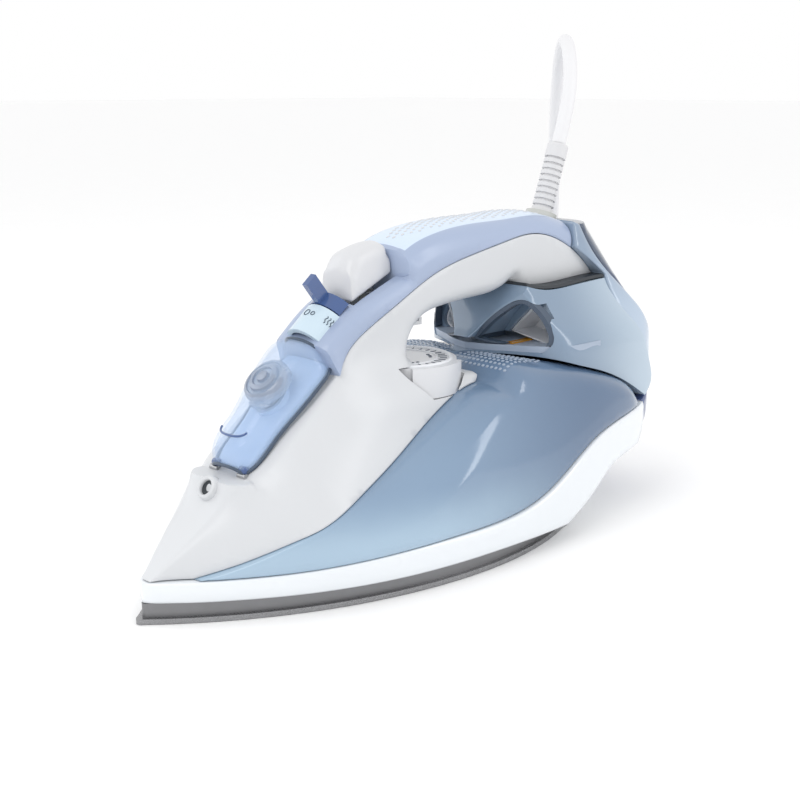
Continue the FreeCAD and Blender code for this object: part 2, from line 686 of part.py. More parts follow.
def build_pumps():
    station = size("spray_station")
    ring_piece("spray_pump_body", (0, station, 96.0), (0, 0, 1), 3.06, 5.4, 20.0)
    pin_piece("spray_piston", (0, station, 108.0), (0, 0, 1), 3.0, 17.5)
    coil_spring("spray_spring", (0, station, 116.1), 4.4, 0.9, 9.4, 5)
    station = size("trigger_station")
    ring_piece("boost_pump_body", (0, station, 123.0), (0, 0, 1), 2.06, 4.6, 11.0)
    pin_piece("boost_piston", (0, station, 114.9), (0, 0, 1), 2.0, 14.0)
    coil_spring("boost_spring", (0, station, 114.9), 3.4, 0.8, 7.8, 5)


def build_nozzle():
    axis = (0, -1, -0.15)
    profile = [(1.2, 0), (4.2, 0), (4.2, 7.5), (3.0, 8.6), (2.2, 8.6), (2.2, 4), (1.2, 4)]
    revolved("spray_nozzle", profile, (0, 34.5, 39.2), axis)
    points = [Vector(0.3, 35.4, 39.4), Vector(8, 52, 45), Vector(12, 85, 60), Vector(12, 106, 84), Vector(9, 112, 95),
              Vector(7.3, 121, 101)]
    route_tube("nozzle_hose", points, 1.6)


def route_tube(label, points, radius):
    """A tube along straight runs joined by tangent arcs, in station coordinates."""
    tube = doc.addObject("Part::Feature", label)
    tube.Shape, _ = swept_route(points, radius)
    return register(tube, label)


def swept_route(points, radius):
    """Round section swept along the points, each corner an arc as large as its runs allow."""
    edges = []
    radii = []
    start = points[0]
    for before, corner, after in zip(points, points[1:], points[2:]):
        back = (before - corner).normalize()
        ahead = (after - corner).normalize()
        turn = math.pi - back.getAngle(ahead)
        shorter = min((before - corner).Length, (after - corner).Length)
        reach = 0.45 * shorter
        bend = reach / math.tan(turn / 2)
        radii.append(bend)
        middle_way = (back + ahead).normalize()
        sagitta = bend / math.cos(turn / 2) - bend
        entry = corner + back * reach
        leave = corner + ahead * reach
        edges.append(Part.LineSegment(start, entry).toShape())
        edges.append(Part.Arc(entry, corner + middle_way * sagitta, leave).toShape())
        start = leave
    edges.append(Part.LineSegment(start, points[-1]).toShape())
    path = Part.Wire(edges)
    section = Part.Wire(Part.makeCircle(radius, points[0], points[1] - points[0]))
    solid = path.makePipeShell([section], True, False)
    ratio = solid.Volume / (math.pi * radius ** 2 * path.Length)
    if abs(ratio - 1) > 0.01:
        raise RuntimeError("swept volume is off by a factor of %.3f" % ratio)
    return solid, radii


# ---------------------------------------------------------------- filler



def door_frame():
    angle = math.radians(size("door_angle"))
    along = Vector(0, math.cos(angle), math.sin(angle))
    outward = Vector(0, -math.sin(angle), math.cos(angle))
    return along, outward


def half_dome(shrink, start, end):
    """A half-round tapering block in front of the door's edge plane."""
    along, outward = door_frame()
    wires = []
    for distance in (start, end):
        share = distance / size("door_length")
        half = DOOR_FOOT_SIZE[0] + (DOOR_HEAD_SIZE[0] - DOOR_FOOT_SIZE[0]) * share - shrink
        depth = DOOR_FOOT_SIZE[1] + (DOOR_HEAD_SIZE[1] - DOOR_FOOT_SIZE[1]) * share - shrink
        centre = DOOR_FOOT + along * distance
        crown = []
        for step in range(9):
            angle = math.pi * step / 8
            crown.append(centre + Vector(half * math.cos(angle), 0, 0) + outward * (depth * math.sin(angle)))
        curve = Part.BSplineCurve()
        curve.interpolate(crown)
        chord = Part.LineSegment(crown[-1], crown[0])
        wires.append(Part.Wire([curve.toShape(), chord.toShape()]))
    return Part.makeLoft(wires, True, True)


def feature(label, shape):
    item = doc.addObject("Part::Feature", label)
    item.Shape = shape
    return register(item, label)


def along_plug(start, end, radius):
    """A cylinder on the stopper's axis, between two depths below the door's crest."""
    return Part.makeCylinder(radius, end - start, PLUG_CREST + PLUG_INWARD * start, PLUG_INWARD)


def build_filler():
    thickness = size("door_wall")
    length = size("door_length")
    hood = half_dome(0.0, 0.0, length).cut(half_dome(thickness, -1.0, length + 1.0))
    shell = hood.fuse(half_dome(thickness - 0.01, 0.0, 1.6))
    for x in (-8.1, 6.7):
        shell = shell.fuse(Part.makeCylinder(3.0, 1.4, Vector(x, DOOR_FOOT.y, DOOR_FOOT.z), Vector(1, 0, 0)))
    bore = Part.makeCylinder(1.2 + size("running_fit"), 20.0, DOOR_FOOT - Vector(10, 0, 0), Vector(1, 0, 0))
    feature("filler_door", shell.cut(bore))
    cap = along_plug(1.2, 6.2, 8.2).common(half_dome(thickness + 0.02, 2.0, length - 1.0))
    feature("filler_plug", cap.fuse(along_plug(6.0, 13.0, 5.2)))
    on_slope = Placement(Vector(0, 50.5, 55.0), Rotation(Vector(1, 0, 0), FRONT_SLOPE))
    tray = Part.makeBox(12.8, 46.0, 1.2, Vector(-6.4, 0, 0))
    behind = Part.makeBox(40.0, 80.0, 12.0, Vector(-20.0, -10.0, -12.0))
    for block in (tray, behind):
        block.Placement = on_slope.multiply(block.Placement)
    bay = tray.fuse(along_plug(8.6, 19.0, 8.4)).cut(behind)
    feature("filler_bay", bay.cut(along_plug(0.0, 30.0, 6.6)))
    funnel = Part.makeCone(9.0, 7.0, 14.0, Vector(0, 79, 67), Vector(0, 0, -1))
    funnel = funnel.fuse(Part.makeCylinder(7.0, 22.0, Vector(0, 79, 31), Vector(0, 0, 1)))
    room = Part.makeCone(8.0, 6.0, 14.0, Vector(0, 79, 67), Vector(0, 0, -1))
    room = room.fuse(Part.makeCylinder(6.0, 24.0, Vector(0, 79, 30), Vector(0, 0, 1)))
    feature("filler_funnel", funnel.cut(room))
    pins = [Part.makeCylinder(1.2, 4.9, Vector(x, DOOR_FOOT.y, DOOR_FOOT.z), Vector(1, 0, 0)) for x in (-11.5, 6.6)]
    feature("door_pins", Part.makeCompound(pins))


# ---------------------------------------------------------------- rear pillar and heel

PILLAR_HALF_PLAN = [(0, 189), (8, 191), (22, 198.5), (34, 205), (41, 212), (43.5, 222), (44, 240), (44, 277)]
PILLAR_HALF_FRONT = [(46, 50), (45, 70), (42.5, 85), (36, 98), (27, 112), (25, 122)]
HEEL_HALF_FRONT = [(34, 26), (45, 36), (46, 55), (44, 72), (40, 86), (33.5, 100), (27, 114), (23, 126), (20, 143)]
ARCH_HALF_FRONT = [(4.5, 89), (10, 97), (18, 105), (26, 108.5), (32.5, 104), (37, 96), (38, 88), (34, 83.6)]
ARCH_FLOOR = 83.6
ARCH_REAR = 238.0
ROOM_ROOF = [(194, 92), (200, 103), (207, 108), (216, 109.4), (226, 108.6), (234, 104), (238, 96)]


def half_front_block(name, half, inset):
    right = [(x - inset, z) for x, z in half]
    left = [(-x, z) for x, z in reversed(right)]
    stretches = [right, [right[-1], left[0]], left, [left[-1], right[0]]]
    return view_solid(name, stretches, FRONT_VIEW, -310, 0)


def pillar_plan_block(name, inset, rear):
    half = [(max(x - inset, 0), y + inset) for x, y in PILLAR_HALF_PLAN[:-1]]
    half[0] = (0, half[0][1])
    edge = half[-1][0]
    other = [(-x, y) for x, y in reversed(half)]
    stretches = [half, [half[-1], (edge, rear)], [(edge, rear), (-edge, rear)], [(-edge, rear), other[0]], other]
    return view_solid(name, stretches, PLAN_VIEW, 0, 160)


def arch_opening(name, side, shrink):
    """One of the two openings beside the strut, seen from the front and carried rearward."""
    centre_x, centre_z = 22.0, 94.0
    shrunk = []
    for x, z in ARCH_HALF_FRONT:
        reach = math.hypot(x - centre_x, z - centre_z)
        share = (reach - shrink) / reach
        shrunk.append((side * (centre_x + (x - centre_x) * share), centre_z + (z - centre_z) * share))
    return view_solid(name, [shrunk, [shrunk[-1], shrunk[0]]], FRONT_VIEW, -226, -180)


def arch_room(name, inset, rear, floor):
    roof = [(min(s, rear), z - inset) for s, z in ROOM_ROOF]
    side = [roof, [roof[-1], (rear, floor)], [(rear, floor), (roof[0][0], floor)], [(roof[0][0], floor), roof[0]]]
    return common(name, pillar_plan_block(name + "_plan", 2.8 + inset, rear),
                  view_solid(name + "_side", side, SIDE_VIEW, -60, 60),
                  half_front_block(name + "_front", PILLAR_HALF_FRONT, 2.8 + inset))


def lead_hole(station, radius):
    return cylinder("lead_hole", (0, station, 100), (0, 0, 1), radius, 23.0)


def pillar_block(name, inset):
    floor = shifted(TANK_REAR_TOP[:-1], 0, gap) + [BAND_FRONT[-1]]
    side = [floor, list(reversed(BAND_FRONT)), list(reversed(PILLAR_TOP)), STRUT_FRONT, [STRUT_FRONT[-1], floor[0]]]
    return common(name, pillar_plan_block(name + "_plan", inset, 282),
                  view_solid(name + "_side", side, SIDE_VIEW, -60, 60),
                  half_front_block(name + "_front", PILLAR_HALF_FRONT, inset))


def build_rear_pillar():
    low = [(239.9, 75.2), (256, 68.5), (266, 63.5)]
    rear = [(266, 63.5), (270, 76), (266, 86), (260, 98), (258, 108.6)]
    roof = [(258, 108.6), (239.9, 108.6)]
    room_side = [low, rear, roof, [roof[-1], low[0]]]
    works = common("pillar_works", pillar_plan_block("works_plan", 2.6, 277),
                   view_solid("works_side", room_side, SIDE_VIEW, -60, 60),
                   half_front_block("works_front", PILLAR_HALF_FRONT, 2.6))
    openings = [arch_opening("arch_opening", side, 0.0) for side in (1, -1)]
    board_room = box("board_room", (5, 204.5, 80.9), (30, 219.5, 84.5))
    platform_room = common("platform_room", pillar_plan_block("platform_room_plan", -1.0, ARCH_REAR),
                           box("platform_room_box", (-60, 180, ARCH_FLOOR), (60, ARCH_REAR, 87.2)))
    block = pillar_block("pillar", 0.0)
    register(cut("rear_pillar", block, arch_room("arch_room", 0.0, ARCH_REAR, ARCH_FLOOR), works, board_room,
                 platform_room, lead_hole(244.5, 5.2), *openings), "rear_pillar")


def build_arch_pieces():
    lining = cut("lining_shell", arch_room("lining_outer", 0.2, ARCH_REAR - 0.2, 87.4),
                 arch_room("lining_inner", 1.4, ARCH_REAR - 1.4, 87.0))
    clear = [arch_opening("lining_opening", side, -0.4) for side in (1, -1)]
    register(cut("arch_lining", lining, box("lining_front_clear", (-60, 180, 80), (60, 219, 100)), *clear), "arch_lining")
    for side, label in ((1, "left_arch_rim"), (-1, "right_arch_rim")):
        ring = cut(label + "_ring", arch_opening(label + "_outer", side, 0.15), arch_opening(label + "_inner", side, 2.0))
        skin = cut(label + "_skin", pillar_plan_block(label + "_front", 0.2, 215.0),
                   pillar_plan_block(label + "_back", 2.7, 216.0),
                   box(label + "_low_clear", (-60, 180, 80), (60, 220, 87.4)))
        register(common(label, ring, skin), label)
    web_side = [[(197, 87.3), (199, 96), (203, 102.5), (209, 106.5), (216, 107.7)],
                [(216, 107.7), (214, 97), (216, 87.3)], [(216, 87.3), (197, 87.3)]]
    register(view_solid("arch_web", web_side, SIDE_VIEW, -3.0, 3.0), "arch_web")
    deck = common("deck_block", pillar_plan_block("deck_plan", 0.3, ARCH_REAR - 0.3),
                  box("deck_box", (-60, 185, ARCH_FLOOR + 0.2), (60, ARCH_REAR - 0.3, 86.8)))
    slot = box("lens_slot", (16.0, 200.5, 83.0), (20.2, 215.5, 90))
    register(cut("arch_platform", deck, slot), "arch_platform")
    register(box("indicator_lens", (16.1, 200.6, 84.4), (20.1, 215.4, 87.4)), "indicator_lens")
    register(box("indicator_board", (7, 206, 81.4), (28, 218, 82.9)), "indicator_board")


def build_gasket():
    low = shifted(PILLAR_TOP, 0, 0.15)
    high = shifted(PILLAR_TOP, 0, 1.55)
    side = [low, [low[-1], high[-1]], list(reversed(high)), [high[0], low[0]]]
    block = common("gasket_block", pillar_plan_block("gasket_plan", 0.0, 263), view_solid("gasket_side", side, SIDE_VIEW, -60, 60),
                   half_front_block("gasket_front", PILLAR_HALF_FRONT, 0.0))
    register(cut("pillar_gasket", block, lead_hole(244.5, 5.2)), "pillar_gasket")


def guard_axis():
    lean = math.radians(size("guard_lean"))
    return Vector(0, math.sin(lean), math.cos(lean)), Vector(0, size("guard_station"), size("guard_height"))


def guard_hole(radius):
    axis, root = guard_axis()
    return cylinder("guard_hole", root - axis * 20, axis, radius, 45.0)


BAND_REAR = [(249, 139.5), (257, 126), (268.5, 112), (280, 98.5), (287.5, 86), (292, 74), (290.5, 65), (284, 55)]


def build_heel():
    join = [(243.6, 128.8), (254, 121.8), (262.3, 114.8)]
    front = [join[-1]] + shifted(BAND_FRONT[1:], 0.5, gap)
    side = [join, front, [front[-1], BAND_REAR[-1]], list(reversed(BAND_REAR)), [BAND_REAR[0], (243.6, 141.6)],
            [(243.6, 141.6), join[0]]]
    outer = common("band_outer", plan_block("band_plan", 0.5, 0, 160), view_solid("band_side", side, SIDE_VIEW, -60, 60),
                   half_front_block("band_front", HEEL_HALF_FRONT, 0.0))
    bulkhead = shifted(BAND_REAR, -wall, 0)
    room_side = [bulkhead, [bulkhead[-1], (250, 55)], [(250, 55), (236, 137)], [(236, 137), bulkhead[0]]]
    room = common("band_room", half_front_block("band_core", HEEL_HALF_FRONT, wall),
                  view_solid("band_room_side", room_side, SIDE_VIEW, -60, 60),
                  box("band_room_box", (-60, 236, 57), (60, 300, 137)))
    register(cut("heel_band", outer, room, guard_hole(8.0)), "heel_band")
    front = shifted(BAND_REAR, 2 * gap, 0)
    foot = [(274.3, 51.0), (274.6, 45), (272.5, 37), (266.4, 30.4)]
    lip = (front[-1][0], 54.4)
    rear = [(266.4, 30.4), (276, 28.5), (290, 33), (300, 42.5), (305, 56), (301, 73), (286, 101), (272, 126), (262, 140)]
    side = [front, [front[-1], lip], [lip, foot[0]], foot, rear, [rear[-1], front[0]]]
    outer = common("back_outer", plan_block("back_plan", 0.0, 0, 160), view_solid("back_side", side, SIDE_VIEW, -60, 60),
                   half_front_block("back_front", HEEL_HALF_FRONT, 0.0))
    room_front = shifted(BAND_REAR, gap - 1.0, gap)
    room_side = [[(280, 50), (284, 52)], room_front[::-1][1:], [room_front[0], (253, 137)],
                 [(253, 137), (269, 125), (283.2, 100), (298, 72), (301.8, 56), (297.5, 44.5), (288, 36.5), (280, 36)],
                 [(280, 36), (280, 50)]]
    room_side.insert(1, [(284, 52), room_side[1][0]])
    hollow = common("back_room", plan_block("back_inner_plan", wall, 0, 160), view_solid("back_room_side", room_side, SIDE_VIEW, -60, 60),
                    half_front_block("back_inner_front", HEEL_HALF_FRONT, wall))
    register(cut("heel_back", outer, hollow, guard_hole(8.0)), "heel_back")


def build_guard():
    axis, root = guard_axis()
    fit = size("running_fit")
    socket = [(6.9, -15.5), (7.7, -15.5), (7.7, 1.2), (4.4 + fit, 1.2), (4.4 + fit, -10.6), (6.9, -10.6)]
    revolved("guard_socket", socket, root, axis)
    profile = [(0, -13.8), (6.6, -13.8), (6.6, -10.8), (4.4, -10.8), (4.4, 1.6)]
    length = size("guard_length")
    rings = 9
    for index in range(rings):
        low = 1.6 + index * (length - 8.6) / rings
        share = low / length
        outer = size("guard_root_radius") * (1 - share) + size("guard_tip_radius") * share
        step = (length - 8.6) / rings
        profile += [(outer, low), (outer, low + step * 0.62), (outer - 1.0, low + step * 0.62), (outer - 1.0, low + step)]
    profile += [(5.3, length - 7.0), (5.3, length - 1.0), (4.6, length), (0, length)]
    revolved("cord_guard", profile, root, axis)


def build_electrics():
    register(box("terminal_block", (-9, 244.5, 82), (9, 256, 95.5)), "terminal_block")
    axis, root = guard_axis()
    points = [root - axis * 14.0, root - axis * 20.0, Vector(0, 244.5, 111.0), Vector(0, 245.5, 95.8)]
    route_tube("inner_lead", points, 3.0)
    ring_piece("cord_clamp", (0, 245.2, 101.0), (0, 0, 1), 3.7, 4.9, 4.0)
    register(box("thermal_fuse", (8, 172, COVER_TOP + 0.2), (13, 192, COVER_TOP + 5.2)), "thermal_fuse")


def build_screws():
    head = []
    for x, station, low, length in ((-10, 90, COVER_TOP + 0.05, 2.0), (10, 90, COVER_TOP + 0.05, 2.0),
                                    (-10, 182, COVER_TOP + 0.05, 2.0)):
        head.append(Part.makeCylinder(2.6, length, Vector(x, station, low)))
    feature("cover_screws", Part.makeCompound(head))


# ---------------------------------------------------------------- mains lead, in the row's own frame

CORD_ROUTE = [
    (0, 103.9, 177.2), (0, 110.1, 194.1), (-4.9, 118.7, 210.3), (-15.2, 129.4, 223.7), (-29.9, 144.9, 229.1),
    (-44.5, 160.2, 223.0), (-55.0, 171.3, 207.2), (-59.0, 175.5, 183.9), (-61.2, 177.7, 140.0),
    (-62.6, 179.2, 80.0), (-62.6, 179.2, 33.2), (-73.4, 182.6, 14.3), (-92.0, 188.3, 3.7), (-112.0, 194.5, 3.7),
]
COIL_CENTRE = (-125.5, 151.0)
TAIL_ROUTE = [(-166.7, 131.8, 10.5), (-158.2, 111.4, 7.8), (-148.2, 93.9, 9.3)]
PLUG_HEADING = Vector(0.496, -0.868, 0)


def build_cord():
    for label, route in (("power_cord", CORD_ROUTE), ("cord_tail", TAIL_ROUTE)):
        solid, radii = swept_route([Vector(*point) for point in route], size("cord_radius"))
        print(label, "bend radii:", ", ".join("%.0f" % radius for radius in radii))
        item = doc.addObject("Part::Feature", label)
        item.Shape = solid
        register(item, label, in_station_frame=False)
    ring = [(size("coil_inner_radius"), 0.2), (size("coil_outer_radius"), 0.2),
            (size("coil_outer_radius"), size("coil_height")), (size("coil_inner_radius"), size("coil_height"))]
    revolved("cord_coil", ring, (COIL_CENTRE[0], COIL_CENTRE[1], 0), (0, 0, 1), in_station_frame=False)


def build_plug():
    tilt = math.radians(size("plug_tilt"))
    axis = PLUG_HEADING * math.cos(tilt) + Vector(0, 0, math.sin(tilt))
    root = Vector(*TAIL_ROUTE[-1])
    length = size("plug_length")
    rim = size("plug_rim_radius")
    profile = [(0, 0), (4.8, 0), (6.0, 12), (9.5, 17), (14.0, 24), (rim, 29), (rim, length), (0, length)]
    revolved("plug_body", profile, root, axis, in_station_frame=False)
    across = Vector(-PLUG_HEADING.y, PLUG_HEADING.x, 0)
    pins = [Part.makeCylinder(2.4, 19.0, root + axis * length + across * side, axis) for side in (-9.5, 9.5)]
    item = doc.addObject("Part::Feature", "plug_pins")
    item.Shape = Part.makeCompound(pins)
    register(item, "plug_pins", in_station_frame=False)


# ---------------------------------------------------------------- build, check and write

BUILDERS = (
    build_soleplate, build_sole_casting, build_heater, build_chamber_cover, build_skirt, build_water_tank,
    build_main_housing, build_handle_cover, build_label_strip, build_steam_selector, build_spray_button,
    build_trigger, build_dial, build_dial_spindle, build_thermostat, build_steam_valve, build_pumps, build_nozzle,
    build_filler, build_rear_pillar, build_arch_pieces, build_gasket, build_heel, build_guard, build_electrics,
    build_screws, build_cord, build_plug,
)

for build in BUILDERS:
    build()
doc.recompute()

for item in doc.Objects:
    if "Invalid" in item.State or "Error" in item.State:
        raise RuntimeError("%s did not recompute: %s" % (item.Name, item.State))

os.makedirs("parts", exist_ok=True)
for item in subparts:
    if item.Shape.isNull() or not item.Shape.isValid():
        raise RuntimeError("%s has no valid shape" % item.Label)
    item.Shape.exportStep("parts/%s.step" % item.Label)
print(len(subparts), "sub-parts written")
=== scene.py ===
import bpy
import bmesh
import json
import math
import numpy as np
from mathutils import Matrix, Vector
from mathutils.bvhtree import BVHTree
from mathutils.geometry import delaunay_2d_cdt
from mathutils.kdtree import KDTree


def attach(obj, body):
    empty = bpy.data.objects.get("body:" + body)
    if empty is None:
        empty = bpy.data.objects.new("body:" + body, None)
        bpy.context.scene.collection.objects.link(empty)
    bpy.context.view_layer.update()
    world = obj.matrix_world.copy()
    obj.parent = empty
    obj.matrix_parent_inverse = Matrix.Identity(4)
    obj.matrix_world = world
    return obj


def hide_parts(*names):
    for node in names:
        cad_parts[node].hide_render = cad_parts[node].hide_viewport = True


# Steam iron.  Shapes are worked out in millimetres: x to the iron's left, s = distance behind the
# nose tip, z above the ironing surface.  place() turns them into the row frame in metres.

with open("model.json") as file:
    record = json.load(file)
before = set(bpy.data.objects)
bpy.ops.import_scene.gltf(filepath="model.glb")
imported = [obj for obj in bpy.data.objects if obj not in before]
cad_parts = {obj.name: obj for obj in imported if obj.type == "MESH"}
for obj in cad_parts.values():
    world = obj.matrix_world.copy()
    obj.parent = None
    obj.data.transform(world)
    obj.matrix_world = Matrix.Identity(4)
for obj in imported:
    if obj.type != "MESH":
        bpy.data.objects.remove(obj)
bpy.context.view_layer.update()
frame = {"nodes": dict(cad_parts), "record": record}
NODES = frame["nodes"]
LENGTH = 305.0


def place(x, s, z):
    """The row-frame point, in metres, of a place given in millimetres of the iron."""
    return (x * 0.001, (s - LENGTH / 2) * 0.001, z * 0.001)


# ---------------------------------------------------------------- camera, floor and light


def aim(item, target):
    item.rotation_euler = (Vector(target) - item.location).to_track_quat("-Z", "Y").to_euler()


def make_camera():
    data = bpy.data.cameras.new("camera")
    data.sensor_width = 36.0
    data.lens = 59.2
    data.clip_start = 0.01
    camera = bpy.data.objects.new("camera", data)
    bpy.context.scene.collection.objects.link(camera)
    camera.location = place(412.5, -266.9, 205.7)
    aim(camera, place(0, 145.65, 65.68))
    bpy.context.scene.camera = camera


def area_light(name, location, target, width, height, power, colour=(1, 1, 1)):
    data = bpy.data.lights.new(name, "AREA")
    data.shape = "RECTANGLE"
    data.size = width
    data.size_y = height
    data.energy = power
    data.color = colour
    lamp = bpy.data.objects.new(name, data)
    bpy.context.scene.collection.objects.link(lamp)
    lamp.location = location
    aim(lamp, target)


def make_studio():
    world = bpy.data.worlds.new("studio")
    world.use_nodes = True
    world.node_tree.nodes["Background"].inputs["Color"].default_value = (1.0, 1.0, 1.0, 1)
    world.node_tree.nodes["Background"].inputs["Strength"].default_value = 1.0
    bpy.context.scene.world = world
    bpy.context.scene.view_settings.view_transform = "Standard"
    area_light("key", (0.1, -0.8, 0.9), (0, 0, 0.05), 0.6, 0.6, 2.6)
    area_light("left_fill", (-0.9, -0.5, 0.5), (0, 0, 0.06), 0.5, 0.9, 1.2, (0.95, 0.98, 1.0))
    area_light("rear_strip", (0.9, 0.6, 0.6), (0, 0.03, 0.06), 0.2, 1.0, 2.2)
    bpy.ops.mesh.primitive_grid_add(x_subdivisions=8, y_subdivisions=8, size=30.0, location=(0, 0, -0.0002))
    floor = bpy.context.object
    floor.name = "floor"
    floor.data.materials.append(plastic("floor_paper", (0.97, 0.97, 0.972), rough=0.75, vary=0.01, bump=0.0))


# ---------------------------------------------------------------- materials


def node(tree, kind, **inputs):
    made = tree.nodes.new(kind)
    for key, value in inputs.items():
        made.inputs[key.replace("_", " ")].default_value = value
    return made


def maths(tree, operation, a, b=None, c=None):
    made = tree.nodes.new("ShaderNodeMath")
    made.operation = operation
    for index, value in enumerate((a, b, c)):
        if value is None:
            continue
        if isinstance(value, (int, float)):
            made.inputs[index].default_value = value
        else:
            tree.links.new(value, made.inputs[index])
    return made.outputs[0]


def mixed(tree, factor, a, b):
    """Colour a to b as factor goes from 0 to 1; each colour is a tuple or a socket."""
    made = tree.nodes.new("ShaderNodeMix")
    made.data_type = "RGBA"
    tree.links.new(factor, made.inputs[0])
    for socket, value in ((made.inputs[6], a), (made.inputs[7], b)):
        if isinstance(value, tuple):
            socket.default_value = (*value, 1.0)
        else:
            tree.links.new(value, socket)
    return made.outputs[2]


def ramp(tree, value, low, high):
    made = tree.nodes.new("ShaderNodeMapRange")
    made.interpolation_type = "SMOOTHSTEP"
    tree.links.new(value, made.inputs["Value"])
    made.inputs["From Min"].default_value = low
    made.inputs["From Max"].default_value = high
    return made.outputs["Result"]


def coordinates(tree):
    """Object-space position as three sockets, in millimetres of the iron: x, s, z."""
    where = tree.nodes.new("ShaderNodeTexCoord").outputs["Object"]
    parts = tree.nodes.new("ShaderNodeSeparateXYZ")
    tree.links.new(where, parts.inputs[0])
    x = maths(tree, "MULTIPLY", parts.outputs[0], 1000.0)
    s = maths(tree, "MULTIPLY_ADD", parts.outputs[1], 1000.0, LENGTH / 2)
    z = maths(tree, "MULTIPLY", parts.outputs[2], 1000.0)
    return where, x, s, z


def noise(tree, where, scale, detail=3.0, stretch=None):
    if stretch:
        mapping = tree.nodes.new("ShaderNodeMapping")
        mapping.inputs["Scale"].default_value = stretch
        tree.links.new(where, mapping.inputs["Vector"])
        where = mapping.outputs[0]
    made = node(tree, "ShaderNodeTexNoise", Scale=scale, Detail=detail)
    tree.links.new(where, made.inputs["Vector"])
    return made.outputs["Fac"]


def shaded(name, **sockets):
    item = bpy.data.materials.new(name)
    item.use_nodes = True
    shader = item.node_tree.nodes["Principled BSDF"]
    for key, value in sockets.items():
        shader.inputs[key.replace("_", " ")].default_value = value
    return item, item.node_tree, shader


def finish_surface(tree, shader, colour, where, rough, vary, grain, bump):
    """Link a slightly varied colour, a varied roughness and a fine bump."""
    broad = noise(tree, where, 22.0)
    fine = noise(tree, where, grain, 2.0)
    if isinstance(colour, tuple):
        dark = tuple(c * (1 - vary) for c in colour)
        light = tuple(min(c * (1 + vary), 1.0) for c in colour)
        tree.links.new(mixed(tree, broad, dark, light), shader.inputs["Base Color"])
    else:
        tree.links.new(colour, shader.inputs["Base Color"])
    roughness = maths(tree, "MULTIPLY_ADD", broad, rough * 0.5, rough * 0.75)
    tree.links.new(roughness, shader.inputs["Roughness"])
    if bump:
        lift = node(tree, "ShaderNodeBump", Strength=bump, Distance=0.0002)
        tree.links.new(fine, lift.inputs["Height"])
        tree.links.new(lift.outputs[0], shader.inputs["Normal"])
        return lift
    return None


def plastic(name, colour, rough=0.25, vary=0.03, grain=900.0, bump=0.04, **sockets):
    item, tree, shader = shaded(name, **sockets)
    where = coordinates(tree)[0]
    finish_surface(tree, shader, colour, where, rough, vary, grain, bump)
    return item


def brushed_metal(name, colour, rough, stretch, bump=0.15):
    item, tree, shader = shaded(name, Metallic=1.0)
    where = coordinates(tree)[0]
    lines = noise(tree, where, 60.0, 4.0, stretch)
    tree.links.new(mixed(tree, lines, tuple(c * 0.8 for c in colour), colour), shader.inputs["Base Color"])
    tree.links.new(maths(tree, "MULTIPLY_ADD", lines, rough * 0.6, rough * 0.7), shader.inputs["Roughness"])
    lift = node(tree, "ShaderNodeBump", Strength=bump, Distance=0.0001)
    tree.links.new(lines, lift.inputs["Height"])
    tree.links.new(lift.outputs[0], shader.inputs["Normal"])
    return item


def srgb(*values):
    """Linear colour from 0-255 display values."""
    return tuple((v / 255 / 12.92) if v <= 10 else ((v / 255 + 0.055) / 1.055) ** 2.4 for v in values)


# ---------------------------------------------------------------- lines and rounded slabs


def smooth_line(points, step=1.5):
    """Points along a natural cubic through the given points, or along the line between two."""
    p = np.array(points, float)
    t = np.concatenate([[0], np.cumsum(np.linalg.norm(np.diff(p, axis=0), axis=1))])
    count = max(2, int(t[-1] / step) + 1)
    u = np.linspace(0, t[-1], count)
    if len(p) == 2:
        return p[0] + (p[1] - p[0]) * (u / t[-1])[:, None]
    n, h = len(t), np.diff(t)
    left, right = np.eye(n), np.zeros((n, p.shape[1]))
    for i in range(1, n - 1):
        left[i, i - 1:i + 2] = h[i - 1], 2 * (h[i - 1] + h[i]), h[i]
        right[i] = 6 * ((p[i + 1] - p[i]) / h[i] - (p[i] - p[i - 1]) / h[i - 1])
    m = np.linalg.solve(left, right)
    k = np.clip(np.searchsorted(t, u, side="right") - 1, 0, n - 2)
    a, b, hk = (t[k + 1] - u)[:, None], (u - t[k])[:, None], h[k][:, None]
    bent = (m[k] * a ** 3 + m[k + 1] * b ** 3) / (6 * hk)
    return bent + (p[k] / hk - m[k] * hk / 6) * a + (p[k + 1] / hk - m[k + 1] * hk / 6) * b


def outline(stretches, step):
    """A closed side-view loop from stretches that each start where the one before ends."""
    return np.vstack([smooth_line(stretch, step)[:-1] for stretch in stretches])


def inside(p, loop):
    """Which points lie inside a closed loop."""
    after = np.roll(loop, -1, 0)
    x, y = p[:, 0:1], p[:, 1:2]
    rise = after[:, 1] - loop[:, 1]
    rise = np.where(np.abs(rise) < 1e-9, 1e-9, rise)
    crossing = x < (after[:, 0] - loop[:, 0]) * (y - loop[:, 1]) / rise + loop[:, 0]
    return (((loop[:, 1] > y) != (after[:, 1] > y)) & crossing).sum(1) % 2 == 1


def distance(p, line):
    """Each point's distance from a line of points."""
    start, run = line[:-1], np.diff(line, axis=0)
    squared = (run ** 2).sum(1) + 1e-12
    away = p[:, None, :] - start[None]
    share = np.clip((away * run).sum(2) / squared, 0, 1)
    return np.sqrt(((away - share[..., None] * run) ** 2).sum(2)).min(1)


def round_off(d, reach, depth):
    """How far a quarter round of this reach and depth has fallen at distance d from the edge."""
    share = np.clip(d / reach, 0, 1)
    return depth * (1 - np.sqrt(np.maximum(1 - (1 - share) ** 2, 0)))


def inward_normals(loop):
    ahead = np.roll(loop, -1, 0) - np.roll(loop, 1, 0)
    ahead /= np.linalg.norm(ahead, axis=1)[:, None] + 1e-12
    area = (loop[:, 0] * np.roll(loop[:, 1], -1) - np.roll(loop[:, 0], -1) * loop[:, 1]).sum()
    return np.stack([-ahead[:, 1], ahead[:, 0]], 1) * (1 if area > 0 else -1)


